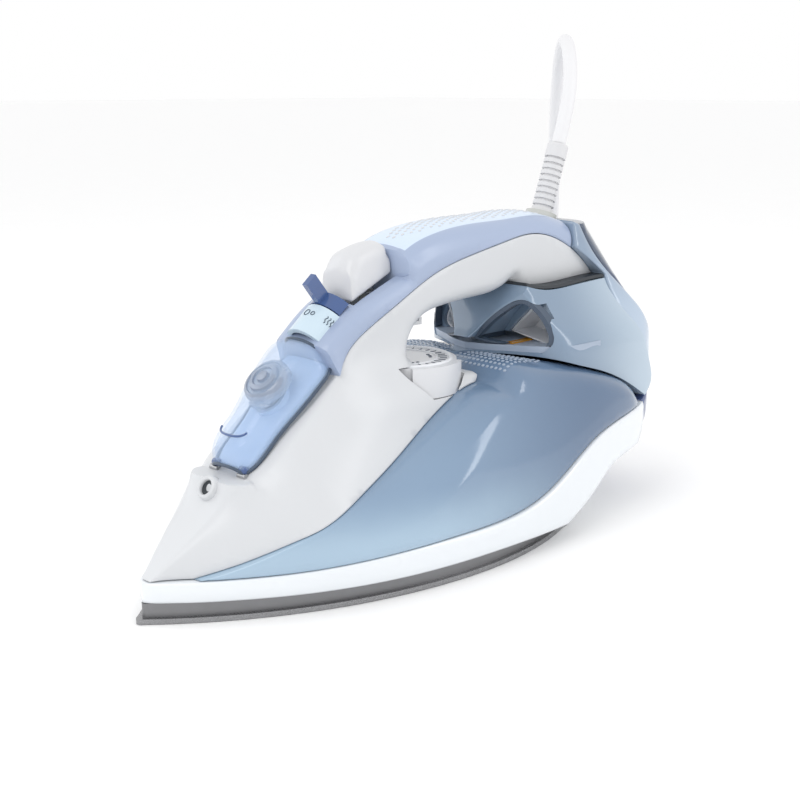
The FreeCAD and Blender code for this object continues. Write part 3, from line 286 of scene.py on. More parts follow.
def side_points(loop, step, edge, soft):
    """Points inside a side-view outline: rings near its edge, rings near rounded lines, a grid between."""
    rim = np.vstack([loop, loop[:1]])
    inward = inward_normals(loop)
    rings = []
    for share in (0.08, 0.35, 1.0):
        ring = loop + inward * edge * share
        rings.append(ring[inside(ring, loop) & (distance(ring, rim) > 0.85 * edge * share)])
    for line, reach, _ in soft:
        ahead = np.gradient(line, axis=0)
        ahead /= np.linalg.norm(ahead, axis=1)[:, None]
        across = np.stack([-ahead[:, 1], ahead[:, 0]], 1)
        for angle in (18, 30, 43, 57, 72):
            far = reach * (1 - math.cos(math.radians(angle)))
            for side in (1, -1):
                ring = line + across * far * side
                keep = inside(ring, loop) & (distance(ring, line) > 0.97 * far)
                ring = ring[keep]
                if len(ring):
                    rings.append(ring[distance(ring, rim) > edge * 1.3])
    low, high = loop.min(0), loop.max(0)
    grid = [(a + (step / 2 if row % 2 else 0), b)
            for row, b in enumerate(np.arange(low[1], high[1], step * 0.87))
            for a in np.arange(low[0], high[0], step)]
    grid = np.array(grid)
    grid = grid[inside(grid, loop)]
    grid = grid[distance(grid, rim) > max(edge * 1.4, step * 0.6)]
    chosen, tree = [], KDTree(sum(map(len, rings)) + len(grid))
    placed = 0
    near_rim = min(0.25 * step, 0.5 * edge)
    groups = [(rings[0], near_rim)] + [(ring, 0.25 * step) for ring in rings[1:]] + [(grid, 0.62 * step)]
    for group, spacing in groups:
        tree.balance()
        fresh = []
        for a, b in group:
            if placed and tree.find((a, b, 0))[2] < spacing:
                continue
            fresh.append((a, b))
        for a, b in fresh:
            tree.insert((a, b, 0), placed)
            placed += 1
        chosen += fresh
    return chosen


def slab(name, stretches, width, step=2.4, edge=0.6, soft=(), rows=6, crown=0.0):
    """A closed piece, symmetric about x = 0, from its side-view outline and its half width over it.

    soft lists (line, reach, depth): near that line the half width falls away in a round by depth,
    a length or a function of the points and their half widths.
    """
    loop = outline(stretches, step * 0.6)
    points = side_points(loop, step, edge, soft)
    verts = [Vector(v) for v in loop] + [Vector(v) for v in points]
    ring = [(i, (i + 1) % len(loop)) for i in range(len(loop))]
    flat, _, faces = delaunay_2d_cdt(verts, ring, [], 1, 1e-5)[:3]
    flat = np.array([(v.x, v.y) for v in flat])
    half = width(flat)
    for line, reach, depth in soft:
        fall = depth(flat, half) if callable(depth) else np.minimum(depth, 0.86 * half)
        half = half - round_off(distance(flat, line), reach, fall)
    rim = np.vstack([loop, loop[:1]])
    half = half - round_off(distance(flat, rim), edge, np.minimum(edge, 0.6 * half))
    half = np.maximum(half, 0.05)
    mesh = bmesh.new()
    left = [mesh.verts.new(place(h, *p)) for h, p in zip(half, flat)]
    right = [mesh.verts.new(place(-h, *p)) for h, p in zip(half, flat)]
    uses = {}
    for face in faces:
        mesh.faces.new([left[i] for i in face])
        mesh.faces.new([right[i] for i in reversed(face)])
        for a, b in zip(face, face[1:] + face[:1]):
            uses.setdefault(frozenset((a, b)), []).append((a, b))
    border = [pairs[0] for pairs in uses.values() if len(pairs) == 1]
    outward = {}
    for a, b in border:
        run = flat[b] - flat[a]
        away = np.array([run[1], -run[0]]) / (np.linalg.norm(run) + 1e-12)
        for i in (a, b):
            outward[i] = outward.get(i, 0) + away
    columns = {}
    for i, away in outward.items():
        away = away / (np.linalg.norm(away) + 1e-12)
        column = [left[i]]
        for row in range(1, rows):
            share = 1 - 2 * row / rows
            lift = crown * (1 - share ** 2)
            column.append(mesh.verts.new(place(half[i] * share, *(flat[i] + away * lift))))
        columns[i] = column + [right[i]]
    for a, b in border:
        for row in range(rows):
            first, second = columns[a], columns[b]
            mesh.faces.new((first[row], first[row + 1], second[row + 1], second[row]))
    bmesh.ops.remove_doubles(mesh, verts=mesh.verts, dist=2e-5)
    bmesh.ops.recalc_face_normals(mesh, faces=mesh.faces)
    return add_mesh(name, mesh)


def add_mesh(name, mesh, smooth=True):
    data = bpy.data.meshes.new(name)
    mesh.to_mesh(data)
    mesh.free()
    data.polygons.foreach_set("use_smooth", [smooth] * len(data.polygons))
    item = bpy.data.objects.new(name, data)
    bpy.context.scene.collection.objects.link(item)
    return item


def dress(item, material, body="iron_body", nodes=()):
    """Give a piece its material and body, and hide the CAD nodes it stands for."""
    item.data.materials.clear()
    item.data.materials.append(material)
    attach(item, body)
    if nodes:
        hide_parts(*nodes)
    return item


def carve(item, *cutters):
    """Cut each cutter mesh out of a piece and remove the cutter."""
    for cutter in cutters:
        change = item.modifiers.new("cut", "BOOLEAN")
        change.operation = "DIFFERENCE"
        change.solver = "EXACT"
        change.object = cutter
        bpy.context.view_layer.update()
        made = bpy.data.meshes.new_from_object(item.evaluated_get(bpy.context.evaluated_depsgraph_get()))
        item.modifiers.clear()
        item.data = made
        bpy.data.objects.remove(cutter)
    item.data.set_sharp_from_angle(angle=math.radians(35))


def lathe(name, profile, base, axis, count=64):
    """A turned closed piece: profile is (radius, height) in mm from base along axis, station frame."""
    axis = Vector(axis).normalized()
    side = axis.orthogonal().normalized()
    other = axis.cross(side)
    mesh = bmesh.new()
    rings = []
    for radius, height in profile:
        if radius < 1e-6:
            rings.append([mesh.verts.new(place(*(Vector(base) + axis * height)))])
            continue
        ring = []
        for k in range(count):
            angle = 2 * math.pi * k / count
            point = Vector(base) + axis * height + (side * math.cos(angle) + other * math.sin(angle)) * radius
            ring.append(mesh.verts.new(place(*point)))
        rings.append(ring)
    for first, second in zip(rings, rings[1:]):
        for k in range(count):
            after = (k + 1) % count
            quad = [first[k % len(first)], first[after % len(first)], second[after % len(second)],
                    second[k % len(second)]]
            quad = list(dict.fromkeys(quad))
            if len(quad) > 2:
                mesh.faces.new(quad)
    if len(rings[0]) > 1 and len(rings[-1]) > 1:
        for k in range(count):
            after = (k + 1) % count
            mesh.faces.new((rings[-1][k], rings[-1][after], rings[0][after], rings[0][k]))
    bmesh.ops.recalc_face_normals(mesh, faces=mesh.faces)
    return add_mesh(name, mesh)


# ---------------------------------------------------------------- the body's widths and side lines
# HALF_PLAN is (s, half width); the _FRONT lines are (z, half width); every other line is (s, z).

HALF_PLAN = smooth_line([
    (2.5, 0), (5, 4.2), (8.4, 7.6), (15, 13.6), (30, 25), (50, 37.4), (94, 54.2), (145, 60.5), (170, 61),
    (192, 60.3), (220, 57), (248, 52.5), (271, 46.5), (286.5, 38.5), (298, 26), (304, 12), (305, 0)], 1.0)
HOUSING_FRONT = smooth_line([(16, 61), (17, 60.6), (32, 47), (50, 37), (66, 30.5), (76, 27.5), (84, 22.5),
                             (91, 18.8), (110, 18.5), (125, 20), (136, 21), (150, 21)], 1.0)
TANK_FRONT = smooth_line([(8, 61.5), (26, 61), (40, 58.5), (56, 54), (70, 49), (80, 44), (90, 38)], 1.0)
HEEL_FRONT = smooth_line([(26, 34), (36, 45), (55, 46), (72, 44), (86, 40), (100, 33.5), (114, 27), (126, 23),
                          (143, 20)], 1.0)

SKIRT_TOP = [(3, 16.5), (60, 17.5), (120, 20), (176, 25), (198, 34), (222, 44), (250, 49), (273, 51)]
NOSE_SEAM = [(19, 17.2), (34, 22.5), (50, 29.5), (88, 44.5), (110, 53.5), (124, 60), (140, 67.5), (158, 74),
             (168, 75.5)]
TANK_TOP = [(172, 77), (178, 82), (196, 82), (220, 77), (240, 71), (262, 61.5), (273, 53)]
HANDLE_SEAM = [(91.5, 88), (99, 98), (110.5, 106), (126.5, 114.5), (147.5, 125), (172, 131.5), (194, 135.5),
               (214, 137.5), (232, 133.5), (243, 128.5)]
CREST = [(86.3, 100.4), (104, 113.2), (118, 119.4), (132, 124.8)]
HANDLE_TOP = [(132.6, 136.0), (137, 138.2), (150, 142.2), (178, 145.3), (199, 145.6), (228, 145.3),
              (243, 141.5)]
BAND_FRONT = [(262, 113), (264.5, 100), (272.5, 86), (279, 71), (281, 60), (277, 53)]
BAND_REAR = [(249, 139.5), (257, 126), (268.5, 112), (280, 98.5), (287.5, 86), (292, 74), (290.5, 65),
             (284, 55)]


def moved(points, along, up):
    return [(a + along, b + up) for a, b in points]


def plan_width(station):
    return np.interp(station, HALF_PLAN[:, 0], HALF_PLAN[:, 1], left=0, right=0)


def narrower(a, b, reach):
    """The smaller of two widths, with a round changeover."""
    share = np.clip(0.5 + 0.5 * (b - a) / reach, 0, 1)
    return b * (1 - share) + a * share - reach * share * (1 - share)


def body_width(front, reach=8.0):
    def width(p):
        plan = np.maximum(plan_width(p[:, 0]) - 0.5, 0.3)
        return np.maximum(narrower(plan, np.interp(p[:, 1], front[:, 0], front[:, 1]), reach), 0.3 * plan)
    return width


housing_width = body_width(HOUSING_FRONT)


def tank_width(p):
    """The tank bulges out from the housing's seam to the body's full width."""
    full = body_width(TANK_FRONT, 6.0)(p)
    seam = smooth_line(NOSE_SEAM)
    at_seam = np.stack([np.clip(p[:, 0], 19, 168), np.interp(p[:, 0], seam[:, 0], seam[:, 1])], 1)
    start = np.minimum(housing_width(at_seam), full)
    reach = np.interp(p[:, 0], [0, 110, 150, 175], [22, 22, 12, 6])
    share = np.clip(distance(p, seam) / reach, 0, 1)
    return start + (full - start) * np.sqrt(np.maximum(1 - (1 - share) ** 2, 0))


# ---------------------------------------------------------------- finishes, one for each record slot


def smoked_tank_with_painted_shade():
    """Smoky translucent blue, its own tint, with painted shade: pale low at the front, darker higher up and
    towards the heel.
    """
    item, tree, shader = shaded("tank_smoke_blue", Coat_Weight=0.6, Coat_Roughness=0.06)
    where, _, s, z = coordinates(tree)
    cloud = maths(tree, "MULTIPLY", noise(tree, where, 16.0), 12.0)
    # Painted shade: the tint darkens with height and towards the heel, its edge broken up by noise.
    low = ramp(tree, maths(tree, "ADD", z, cloud), 30.0, 52.0)
    back = ramp(tree, maths(tree, "ADD", s, cloud), 110.0, 235.0)
    front = mixed(tree, low, srgb(162, 186, 206), srgb(126, 150, 176))
    colour = mixed(tree, back, front, srgb(82, 106, 136))
    finish_surface(tree, shader, colour, where, 0.16, 0.03, 700.0, 0.03)
    return item


def two_tone_handle():
    """Blue sides with an ice-blue top panel."""
    item, tree, shader = shaded("handle_blue", Coat_Weight=0.25, Coat_Roughness=0.2)
    where, x, s, z = coordinates(tree)
    panel = maths(tree, "MULTIPLY", ramp(tree, maths(tree, "ABSOLUTE", x), 14.6, 14.0),
                  ramp(tree, z, 126.5, 127.5))
    ends = maths(tree, "MULTIPLY", ramp(tree, s, 134.0, 134.6), ramp(tree, s, 241.0, 240.4))
    panel = maths(tree, "MULTIPLY", panel, ends)
    colour = mixed(tree, panel, srgb(159, 173, 199), srgb(204, 219, 237))
    finish_surface(tree, shader, colour, where, 0.3, 0.03, 900.0, 0.05)
    return item


def plastic_with_painted_shade(name, low, high, line, rough, **sockets):
    """One plastic in a lit and a shaded tone, painted light and shade blended across a line given as (axis
    0-2, from, to) in mm.
    """
    item, tree, shader = shaded(name, **sockets)
    where, *axes = coordinates(tree)
    axis, start, stop = line
    # Painted shade: the colour runs from low at the line's start to high at its end.
    colour = mixed(tree, ramp(tree, axes[axis], start, stop), srgb(*low), srgb(*high))
    finish_surface(tree, shader, colour, where, rough, 0.03, 900.0, 0.04)
    return item


def make_finishes():
    made = {
        "sole_steel": brushed_metal("sole_steel", srgb(158, 158, 160), 0.28, (1.0, 30.0, 30.0)),
        "casting_metal": brushed_metal("casting_metal", srgb(142, 142, 144), 0.45, (4.0, 4.0, 4.0), 0.4),
        "heater_steel": brushed_metal("heater_steel", srgb(140, 132, 126), 0.4, (20.0, 1.0, 20.0)),
        "works_metal": brushed_metal("works_metal", srgb(185, 186, 188), 0.3, (10.0, 10.0, 1.0)),
        "clamp_brass": brushed_metal("clamp_brass", srgb(205, 175, 110), 0.35, (6.0, 6.0, 6.0)),
        "pin_brass": brushed_metal("pin_brass", srgb(214, 190, 130), 0.25, (4.0, 20.0, 20.0)),
        "tank_smoke_blue": smoked_tank_with_painted_shade(),
        "handle_blue": two_tone_handle(),
        # The heel's own dark blue, with painted shade darkening it to slate towards the top.
        "heel_blue": plastic_with_painted_shade("heel_blue", (66, 82, 128), (60, 74, 96), (2, 90.0, 125.0), 0.18,
                                    Coat_Weight=0.6, Coat_Roughness=0.05),
        # Painted shade: the band is darker at its top and lighter low down.
        "band_steel": plastic_with_painted_shade("band_steel", (132, 150, 172), (176, 192, 210), (2, 135.0, 85.0), 0.18,
                                     Coat_Weight=0.7, Coat_Roughness=0.05),
        # Painted shade: the pillar is darker at the front under the handle's rear end and lighter towards the
        # back.
        "pillar_pale_blue": plastic_with_painted_shade("pillar_pale_blue", (122, 142, 164), (178, 194, 208),
                                           (1, 215.0, 285.0), 0.2, Coat_Weight=0.6, Coat_Roughness=0.05),
    }
    clear = {"Transmission_Weight": 0.7, "IOR": 1.35}
    glossy = {"Coat_Weight": 0.5, "Coat_Roughness": 0.05}
    for name, colour, rough, extra in [
            ("skirt_white", (228, 232, 236), 0.22, glossy), ("housing_grey", (206, 208, 211), 0.3, {}),
            ("strip_ice_blue", (196, 214, 226), 0.2, {}), ("selector_blue", (62, 88, 138), 0.12, glossy),
            ("button_grey", (208, 209, 212), 0.3, {}), ("dial_white", (216, 217, 220), 0.3, {}),
            ("works_plastic", (196, 196, 190), 0.5, {}), ("nozzle_grey", (176, 180, 188), 0.3, {}),
            ("hose_clear", (205, 214, 220), 0.15, clear), ("bay_blue", (176, 198, 228), 0.25, {}),
            ("door_clear_blue", (190, 214, 244), 0.06, {**glossy, "Alpha": 0.24}),
            ("stopper_blue", (150, 162, 182), 0.12, {**glossy, "Alpha": 0.8}),
            ("lining_white", (232, 234, 238), 0.35, {}),
            ("rim_slate", (66, 80, 98), 0.28, {}), ("platform_blue", (160, 173, 191), 0.3, {}),
            ("lens_amber", (226, 160, 48), 0.1, {**clear, "Transmission_Weight": 0.25}),
            ("board_green", (40, 96, 62), 0.5, {}), ("gasket_black", (38, 44, 51), 0.5, {}),
            ("guard_grey", (212, 212, 214), 0.45, {}),
            ("cord_grey", (226, 226, 228), 0.5, {}), ("plug_grey", (218, 218, 220), 0.4, {})]:
        made[name] = plastic(name, srgb(*colour), rough, **extra)
    return made


def dress_frame(finishes):
    slots = {part["node"]: part["material_slot"] for part in frame["record"]["subparts"]}
    for name, item in NODES.items():
        item.data.materials.clear()
        item.data.materials.append(finishes[slots[name]])


# ---------------------------------------------------------------- the body's pieces


def make_skirt(finishes):
    rear = [(273, 51), (274, 45), (272, 37), (266, 31)]
    foot = [(266, 31), (252, 30), (236, 27), (220, 18.5), (208, 13), (196, 8.3)]
    stretches = [SKIRT_TOP, rear, foot, [(196, 8.3), (3.2, 8.3)], [(3.2, 8.3), (3, 16.5)]]
    item = slab("skirt_shell", stretches, lambda p: np.maximum(plan_width(p[:, 0]), 0.4), edge=1.0)
    dress(item, finishes["skirt_white"], nodes=["skirt"])


def make_tank(finishes):
    foot = moved(SKIRT_TOP[1:], 0, 0.35)[::-1] + [(19.6, 17.2)]
    stretches = [moved(NOSE_SEAM, 0.3, -0.25), [(168.3, 75.2), (172, 77)], TANK_TOP,
                 [(273, 53), (273, 51.35)], foot]
    item = slab("water_tank_shell", stretches, tank_width, edge=0.8,
                soft=[(smooth_line(TANK_TOP), 9.0, 9.0)])
    return dress(item, finishes["tank_smoke_blue"], nodes=["water_tank"])


def beside_door(p, half):
    """How far the housing's shoulders fall beside the filling door, down to just over its width."""
    return np.maximum(half - np.interp(p[:, 0], [38, 47, 91.5], [11.0, 13.0, 17.4]), 0)


def beside_nose(p, half):
    return np.maximum(half - np.interp(p[:, 1], [17, 33, 51], [3.5, 8.0, 11.0]), 0)


def make_housing(finishes):
    nose = [(5, 17), (10, 21.5), (24, 33.5), (36, 46), (38, 51)]
    under = [(203, 116.2), (196, 112.8), (179, 110.5), (159, 109), (144, 105), (138, 99), (135, 90)]
    plateau = [(135, 79.9), (163, 79.6), (170, 78), (168, 75.5)]
    bed = [(47, 51.8), (91.5, 88)]
    stretches = [nose, [(38, 51), (47, 51.8)], bed, HANDLE_SEAM, [(243, 128.5), (254, 121.3), (262, 114.3)],
                 [(262, 114.3), (235, 112.4), (212, 112.9), (203, 116.2)], under, [(135, 90), (135, 79.9)],
                 plateau, NOSE_SEAM[::-1], [(19, 17.2), (5, 17)]]
    item = slab("main_housing_shell", stretches, housing_width, edge=0.7,
                soft=[(smooth_line(nose), 30.0, beside_nose), (smooth_line(bed), 26.0, beside_door),
                      (smooth_line(under), 7.0, 8.0), (smooth_line(plateau), 2.5, 2.5)])
    room = lathe("dial_room", [(0, 0), (26.7, 0), (26.7, 6.8), (0, 6.8)], (0, 145, 79.8), (0, 0, 1), 96)
    carve(item, room, tab_room())
    dress(item, finishes["housing_grey"], nodes=["main_housing"])


def tab_room():
    """The space the dial's tab sweeps: a ring sector on the iron's left."""
    mesh = bmesh.new()
    rings = []
    for k in range(31):
        angle = math.radians(-113 + 150 * k / 30)
        rings.append([mesh.verts.new(place(r * math.cos(angle), 145 + r * math.sin(angle), z))
                      for r, z in ((25.2, 71.8), (29.8, 71.8), (29.8, 86.6), (25.2, 86.6))])
    for first, second in zip(rings, rings[1:]):
        for k in range(4):
            mesh.faces.new((first[k], first[(k + 1) % 4], second[(k + 1) % 4], second[k]))
    mesh.faces.new(rings[0])
    mesh.faces.new(rings[-1])
    bmesh.ops.recalc_face_normals(mesh, faces=mesh.faces)
    return add_mesh("tab_room", mesh)


def make_handle_cover(finishes):
    seam = moved(HANDLE_SEAM, 0, 0.35)
    top = smooth_line(HANDLE_TOP)
    stretches = [[(91.5, 88.35), (86.3, 100.4)], CREST, [(132, 124.8), (132.6, 136.0)], HANDLE_TOP,
                 [(243, 141.5), (243, 128.85)], seam[::-1]]
    item = slab("handle_cover_shell", stretches, housing_width, edge=0.7, crown=0.9,
                soft=[(top, 11.0, 10.0), (smooth_line(CREST), 5.0, 5.0)])
    carve(item, block("button_room", (-11.0, 107.0, 111.5), (11.0, 131.9, 145.0)))
    return dress(item, finishes["handle_blue"], nodes=["handle_cover"])


def make_dots(name, host, spots, dot, material):
    """Small oval domes moulded on a piece, dropped straight down onto it at the given (x, s) spots."""
    tree = BVHTree.FromObject(host, bpy.context.evaluated_depsgraph_get())
    mesh = bmesh.new()
    for x, s in spots:
        hit, normal, _, _ = tree.ray_cast(Vector(place(x, s, 170)), Vector((0, 0, -1)))
        if hit is None:
            continue
        made = bmesh.ops.create_uvsphere(mesh, u_segments=10, v_segments=6, radius=1.0)["verts"]
        turn = normal.to_track_quat("Z", "Y").to_matrix()
        for vert in made:
            vert.co = hit + turn @ Vector([0.001 * c * size for c, size in zip(vert.co, dot)])
    dress(add_mesh(name, mesh), material)


def make_grip_dots(cover, finishes):
    """Rows of dots on the handle's ice-blue top."""
    spots = []
    for row, s in enumerate(np.arange(140.0, 236.0, 3.6)):
        reach = 10.5 * math.sin(math.pi * (s - 136.0) / 104.0) ** 0.4
        rows = np.arange(-12.6, 12.7, 3.6) + (1.8 if row % 2 else 0)
        spots += [(x, s) for x in rows if abs(x) < reach]
    make_dots("grip_dots", cover, spots, (0.7, 1.1, 0.4), finishes["housing_grey"])


def make_knurl(tank, finishes):
    """Rows of dots on the tank's shoulder, in front of the pillar's foot."""
    spots = []
    for row, s in enumerate(np.arange(176.0, 206.0, 2.6)):
        foot = np.interp(s, PILLAR_PLAN[:, 0], PILLAR_PLAN[:, 1]) + 2.5
        for x in np.arange(foot + (1.3 if row % 2 else 0), 37.0, 2.6):
            spots += [(x, s), (-x, s)]
    make_dots("tank_knurl", tank, spots, (0.8, 0.8, 0.35), finishes["platform_blue"])


def make_heel(finishes):
    join = [(243.6, 128.8), (254, 121.8), (262.3, 114.8)]
    front = [(262.3, 114.8), (264.5, 100), (272.5, 86), (279, 71), (281, 60), (277, 53.4)]
    stretches = [join, front, [(277, 53.4), (284, 55)], BAND_REAR[::-1], [(249, 139.5), (243.6, 141.3)],
                 [(243.6, 141.3), (243.6, 128.8)]]
    width = body_width(HEEL_FRONT)
    band = slab("heel_band_shell", stretches, lambda p: width(p) + 0.3, edge=0.8, crown=0.6)
    dress(band, finishes["band_steel"], nodes=["heel_band"])
    rear = [(266.4, 30.4), (276, 28.5), (290, 33), (300, 42.5), (304.6, 56), (301, 73), (286, 101),
            (272, 126), (262, 140)]
    lead = moved(BAND_REAR[:-1], 0.6, 0) + [(284.6, 54.4)]
    stretches = [lead, [(284.6, 54.4), (274.3, 51)], [(274.3, 51), (274.6, 45), (272.5, 37), (266.4, 30.4)],
                 rear, [(262, 140), (249.6, 139.5)]]
    back = slab("heel_back_shell", stretches, width, edge=0.6, soft=[(smooth_line(rear), 14.0, 14.0)])
    dress(back, finishes["heel_blue"], nodes=["heel_back"])


# ---------------------------------------------------------------- the rear pillar and the button

PILLAR_TOP = [(203, 114.5), (212, 112.2), (235, 111.7), (262, 112.7)]
STRUT_FRONT = [(203, 114.5), (196.5, 106), (192, 98), (188, 92), (182, 87.5), (176, 83.5)]
PILLAR_PLAN = smooth_line([(176, 0), (189, 7), (198.5, 22.3), (205, 34.3), (212, 41.3), (222, 43.8),
                           (240, 44.4), (282, 44.4)], 1.0)
PILLAR_FRONT = smooth_line([(50, 46.6), (70, 46), (85, 44.4), (98, 36.6), (112, 27.4), (122, 25)], 1.0)
ARCH_HALF = [(4.5, 89), (10, 97), (18, 105), (26, 108.5), (32.5, 104), (37, 96), (38, 88), (34, 83.6)]


def arch_outline(side, shrink):
    points = smooth_line(ARCH_HALF, 1.5)
    centre = np.array([22.0, 94.0])
    reach = np.linalg.norm(points - centre, axis=1)[:, None]
    points = centre + (points - centre) * (reach - shrink) / reach
    return [(side * x, z) for x, z in points]


def prism(name, loops, front, rear):
    """Carry a front-view loop rearward; with a second, inner loop it is a sleeve with a back wall."""
    mesh = bmesh.new()
    ends = [[[mesh.verts.new(place(x, s, z)) for x, z in loop] for s in (front, rear - 1.2 * level)]
            for level, loop in enumerate(loops)]
    count = len(loops[0])
    for near, far in ends:
        for k in range(count):
            mesh.faces.new((near[k], near[(k + 1) % count], far[(k + 1) % count], far[k]))
        mesh.faces.new(far)
    if len(loops) == 1:
        mesh.faces.new(ends[0][0])
    else:
        for k in range(count):
            after = (k + 1) % count
            mesh.faces.new((ends[0][0][k], ends[0][0][after], ends[1][0][after], ends[1][0][k]))
    bmesh.ops.recalc_face_normals(mesh, faces=mesh.faces)
    return add_mesh(name, mesh, smooth=False)


def make_pillar(finishes):
    """The pillar under the handle's rear end, with an arch each side of the strut."""
    def width(p):
        plan = np.maximum(np.interp(p[:, 0], PILLAR_PLAN[:, 0], PILLAR_PLAN[:, 1]), 0.6)
        return narrower(plan, np.interp(p[:, 1], PILLAR_FRONT[:, 0], PILLAR_FRONT[:, 1]), 4.0)
    floor = [(176, 83.5), (178, 82.5), (196, 82.5), (220, 77.5), (240, 71.5), (262, 62), (276.4, 53.6)]
    rear = [(276.4, 53.6)] + BAND_FRONT[1:-1][::-1] + [(262, 112.7)]
    stretches = [STRUT_FRONT, floor, rear, PILLAR_TOP[::-1]]
    item = slab("rear_pillar_shell", stretches, width, edge=0.5)
    mouths = [prism("arch_mouth", [arch_outline(side, 0.0)], 170, 212) for side in (1, -1)]
    tunnels = [prism("arch_tunnel", [arch_outline(side, 3.5)], 170, 232) for side in (1, -1)]
    carve(item, *mouths, *tunnels, block("platform_room", (-33.0, 170.0, 83.9), (33.0, 226.0, 90.0)))
    dress(item, finishes["pillar_pale_blue"], nodes=["rear_pillar"])
    for side, label in ((1, "left"), (-1, "right")):
        sleeve = prism(label + "_arch_sleeve", [arch_outline(side, 3.7), arch_outline(side, 4.7)], 214, 231.5)
        nodes = ["arch_lining"] if side == 1 else []
        dress(sleeve, finishes["lining_white"], nodes=nodes)


def block(name, low, high):
    mesh = bmesh.new()
    bmesh.ops.create_cube(mesh, size=1.0)
    for vert in mesh.verts:
        vert.co = Vector(place(*[(a + b) / 2 + (b - a) * c for a, b, c in zip(low, high, vert.co)]))
    return add_mesh(name, mesh, smooth=False)


def make_button(finishes):
    crown = [(107.5, 129.5), (110.5, 134.5), (117.5, 137.6), (125, 139.3), (130, 138.4), (131.3, 134.5)]
    stretches = [[(107.5, 116.6), (107.5, 129.5)], crown, [(131.3, 134.5), (131.3, 126.6)],
                 [(131.3, 126.6), (107.5, 116.6)]]
    item = slab("spray_button_cap", stretches, lambda p: np.interp(p[:, 1], [116, 141], [10.4, 7.4]),
                step=1.6, edge=0.8, crown=0.6, soft=[(smooth_line(crown), 4.0, 4.0)])
    dress(item, finishes["button_grey"], body="button", nodes=["spray_button"])


# ---------------------------------------------------------------- the filling door

DOOR_FOOT = (47.0, 52.5)
DOOR_ANGLE = math.radians(41.6)
DOOR_ALONG = (math.cos(DOOR_ANGLE), math.sin(DOOR_ANGLE))
# Half width and rise of the hood against the distance along it from the foot.
DOOR_HALF = smooth_line([(0.5, 9.5), (4, 11.6), (20, 13.0), (36, 14.8), (50, 15.8), (57, 15.0), (61, 11.5)])
DOOR_RISE = smooth_line([(0.5, 3.5), (4, 8.5), (20, 12.2), (36, 14.8), (50, 16.0), (57, 15.2), (61, 12.5)])


def door_place(x, along, out):
    s = DOOR_FOOT[0] + DOOR_ALONG[0] * along - DOOR_ALONG[1] * out
    return place(x, s, DOOR_FOOT[1] + DOOR_ALONG[1] * along + DOOR_ALONG[0] * out)


def door_surface(along, across, inset=0.0, lift=1.0):
    """A point on the hood, across it from -1 to 1, inset below its outside or lowered by lift below 1."""
    half = np.interp(along, DOOR_HALF[:, 0], DOOR_HALF[:, 1]) - inset
    rise = (np.interp(along, DOOR_RISE[:, 0], DOOR_RISE[:, 1]) - inset) * lift
    angle = math.pi / 2 * across
    x = half * math.copysign(abs(math.sin(angle)) ** 0.75, across)
    return door_place(x, along, max(rise, 0.4) * math.cos(angle) ** 0.8)


def domed_shell(name, outer, inner, low, high):
    """A closed domed sheet between two skins of the door's surface, each given as (inset, lift)."""
    steps = 28
    mesh = bmesh.new()
    skins = []
    for inset, lift in (outer, inner):
        stations = np.clip(np.linspace(low, high, 44), low + inset * 0.5, high - inset * 0.5)
        skins.append([[mesh.verts.new(door_surface(along, 2 * k / steps - 1, inset, lift))
                       for k in range(steps + 1)] for along in stations])
    rows, columns = 44, steps + 1
    for skin in skins:
        for i in range(rows - 1):
            for k in range(columns - 1):
                mesh.faces.new((skin[i][k], skin[i + 1][k], skin[i + 1][k + 1], skin[i][k + 1]))
    border = [(i, 0) for i in range(rows)] + [(rows - 1, k) for k in range(1, columns)]
    border += [(i, columns - 1) for i in range(rows - 2, -1, -1)]
    border += [(0, k) for k in range(columns - 2, 0, -1)]
    for (i, k), (m, n) in zip(border, border[1:] + border[:1]):
        mesh.faces.new((skins[0][i][k], skins[0][m][n], skins[1][m][n], skins[1][i][k]))
    bmesh.ops.recalc_face_normals(mesh, faces=mesh.faces)
    return add_mesh(name, mesh)


def make_hood(finishes):
    """The clear hood along the front of the column, and the pale tray it closes over."""
    hood = domed_shell("door_hood", (0.0, 1.0), (1.3, 1.0), 0.5, 61)
    dress(hood, finishes["door_clear_blue"], body="door", nodes=["filler_door"])
    tray = domed_shell("filler_tray", (1.8, 0.3), (1.8, 0.06), 1.5, 59)
    dress(tray, finishes["bay_blue"])


def tube_mesh(mesh, centres, radius, closed=False, sides=8):
    """Add a round bead along a line of points, in metres."""
    points = [Vector(p) for p in centres]
    rings = []
    for i, point in enumerate(points):
        before = points[i - 1] if i or closed else point
        after = points[(i + 1) % len(points)] if closed or i + 1 < len(points) else point
        ahead = (after - before).normalized()
        side = ahead.cross(Vector((0.31, 0.23, 0.92))).normalized()
        other = ahead.cross(side)
        rings.append([mesh.verts.new(point + (side * math.cos(a) + other * math.sin(a)) * radius)
                      for a in np.linspace(0, 2 * math.pi, sides, endpoint=False)])
    pairs = list(zip(rings, rings[1:])) + ([(rings[-1], rings[0])] if closed else [])
    for first, second in pairs:
        for k in range(sides):
            mesh.faces.new((first[k], first[(k + 1) % sides], second[(k + 1) % sides], second[k]))
    if not closed:
        mesh.faces.new(rings[0])
        mesh.faces.new(rings[-1])


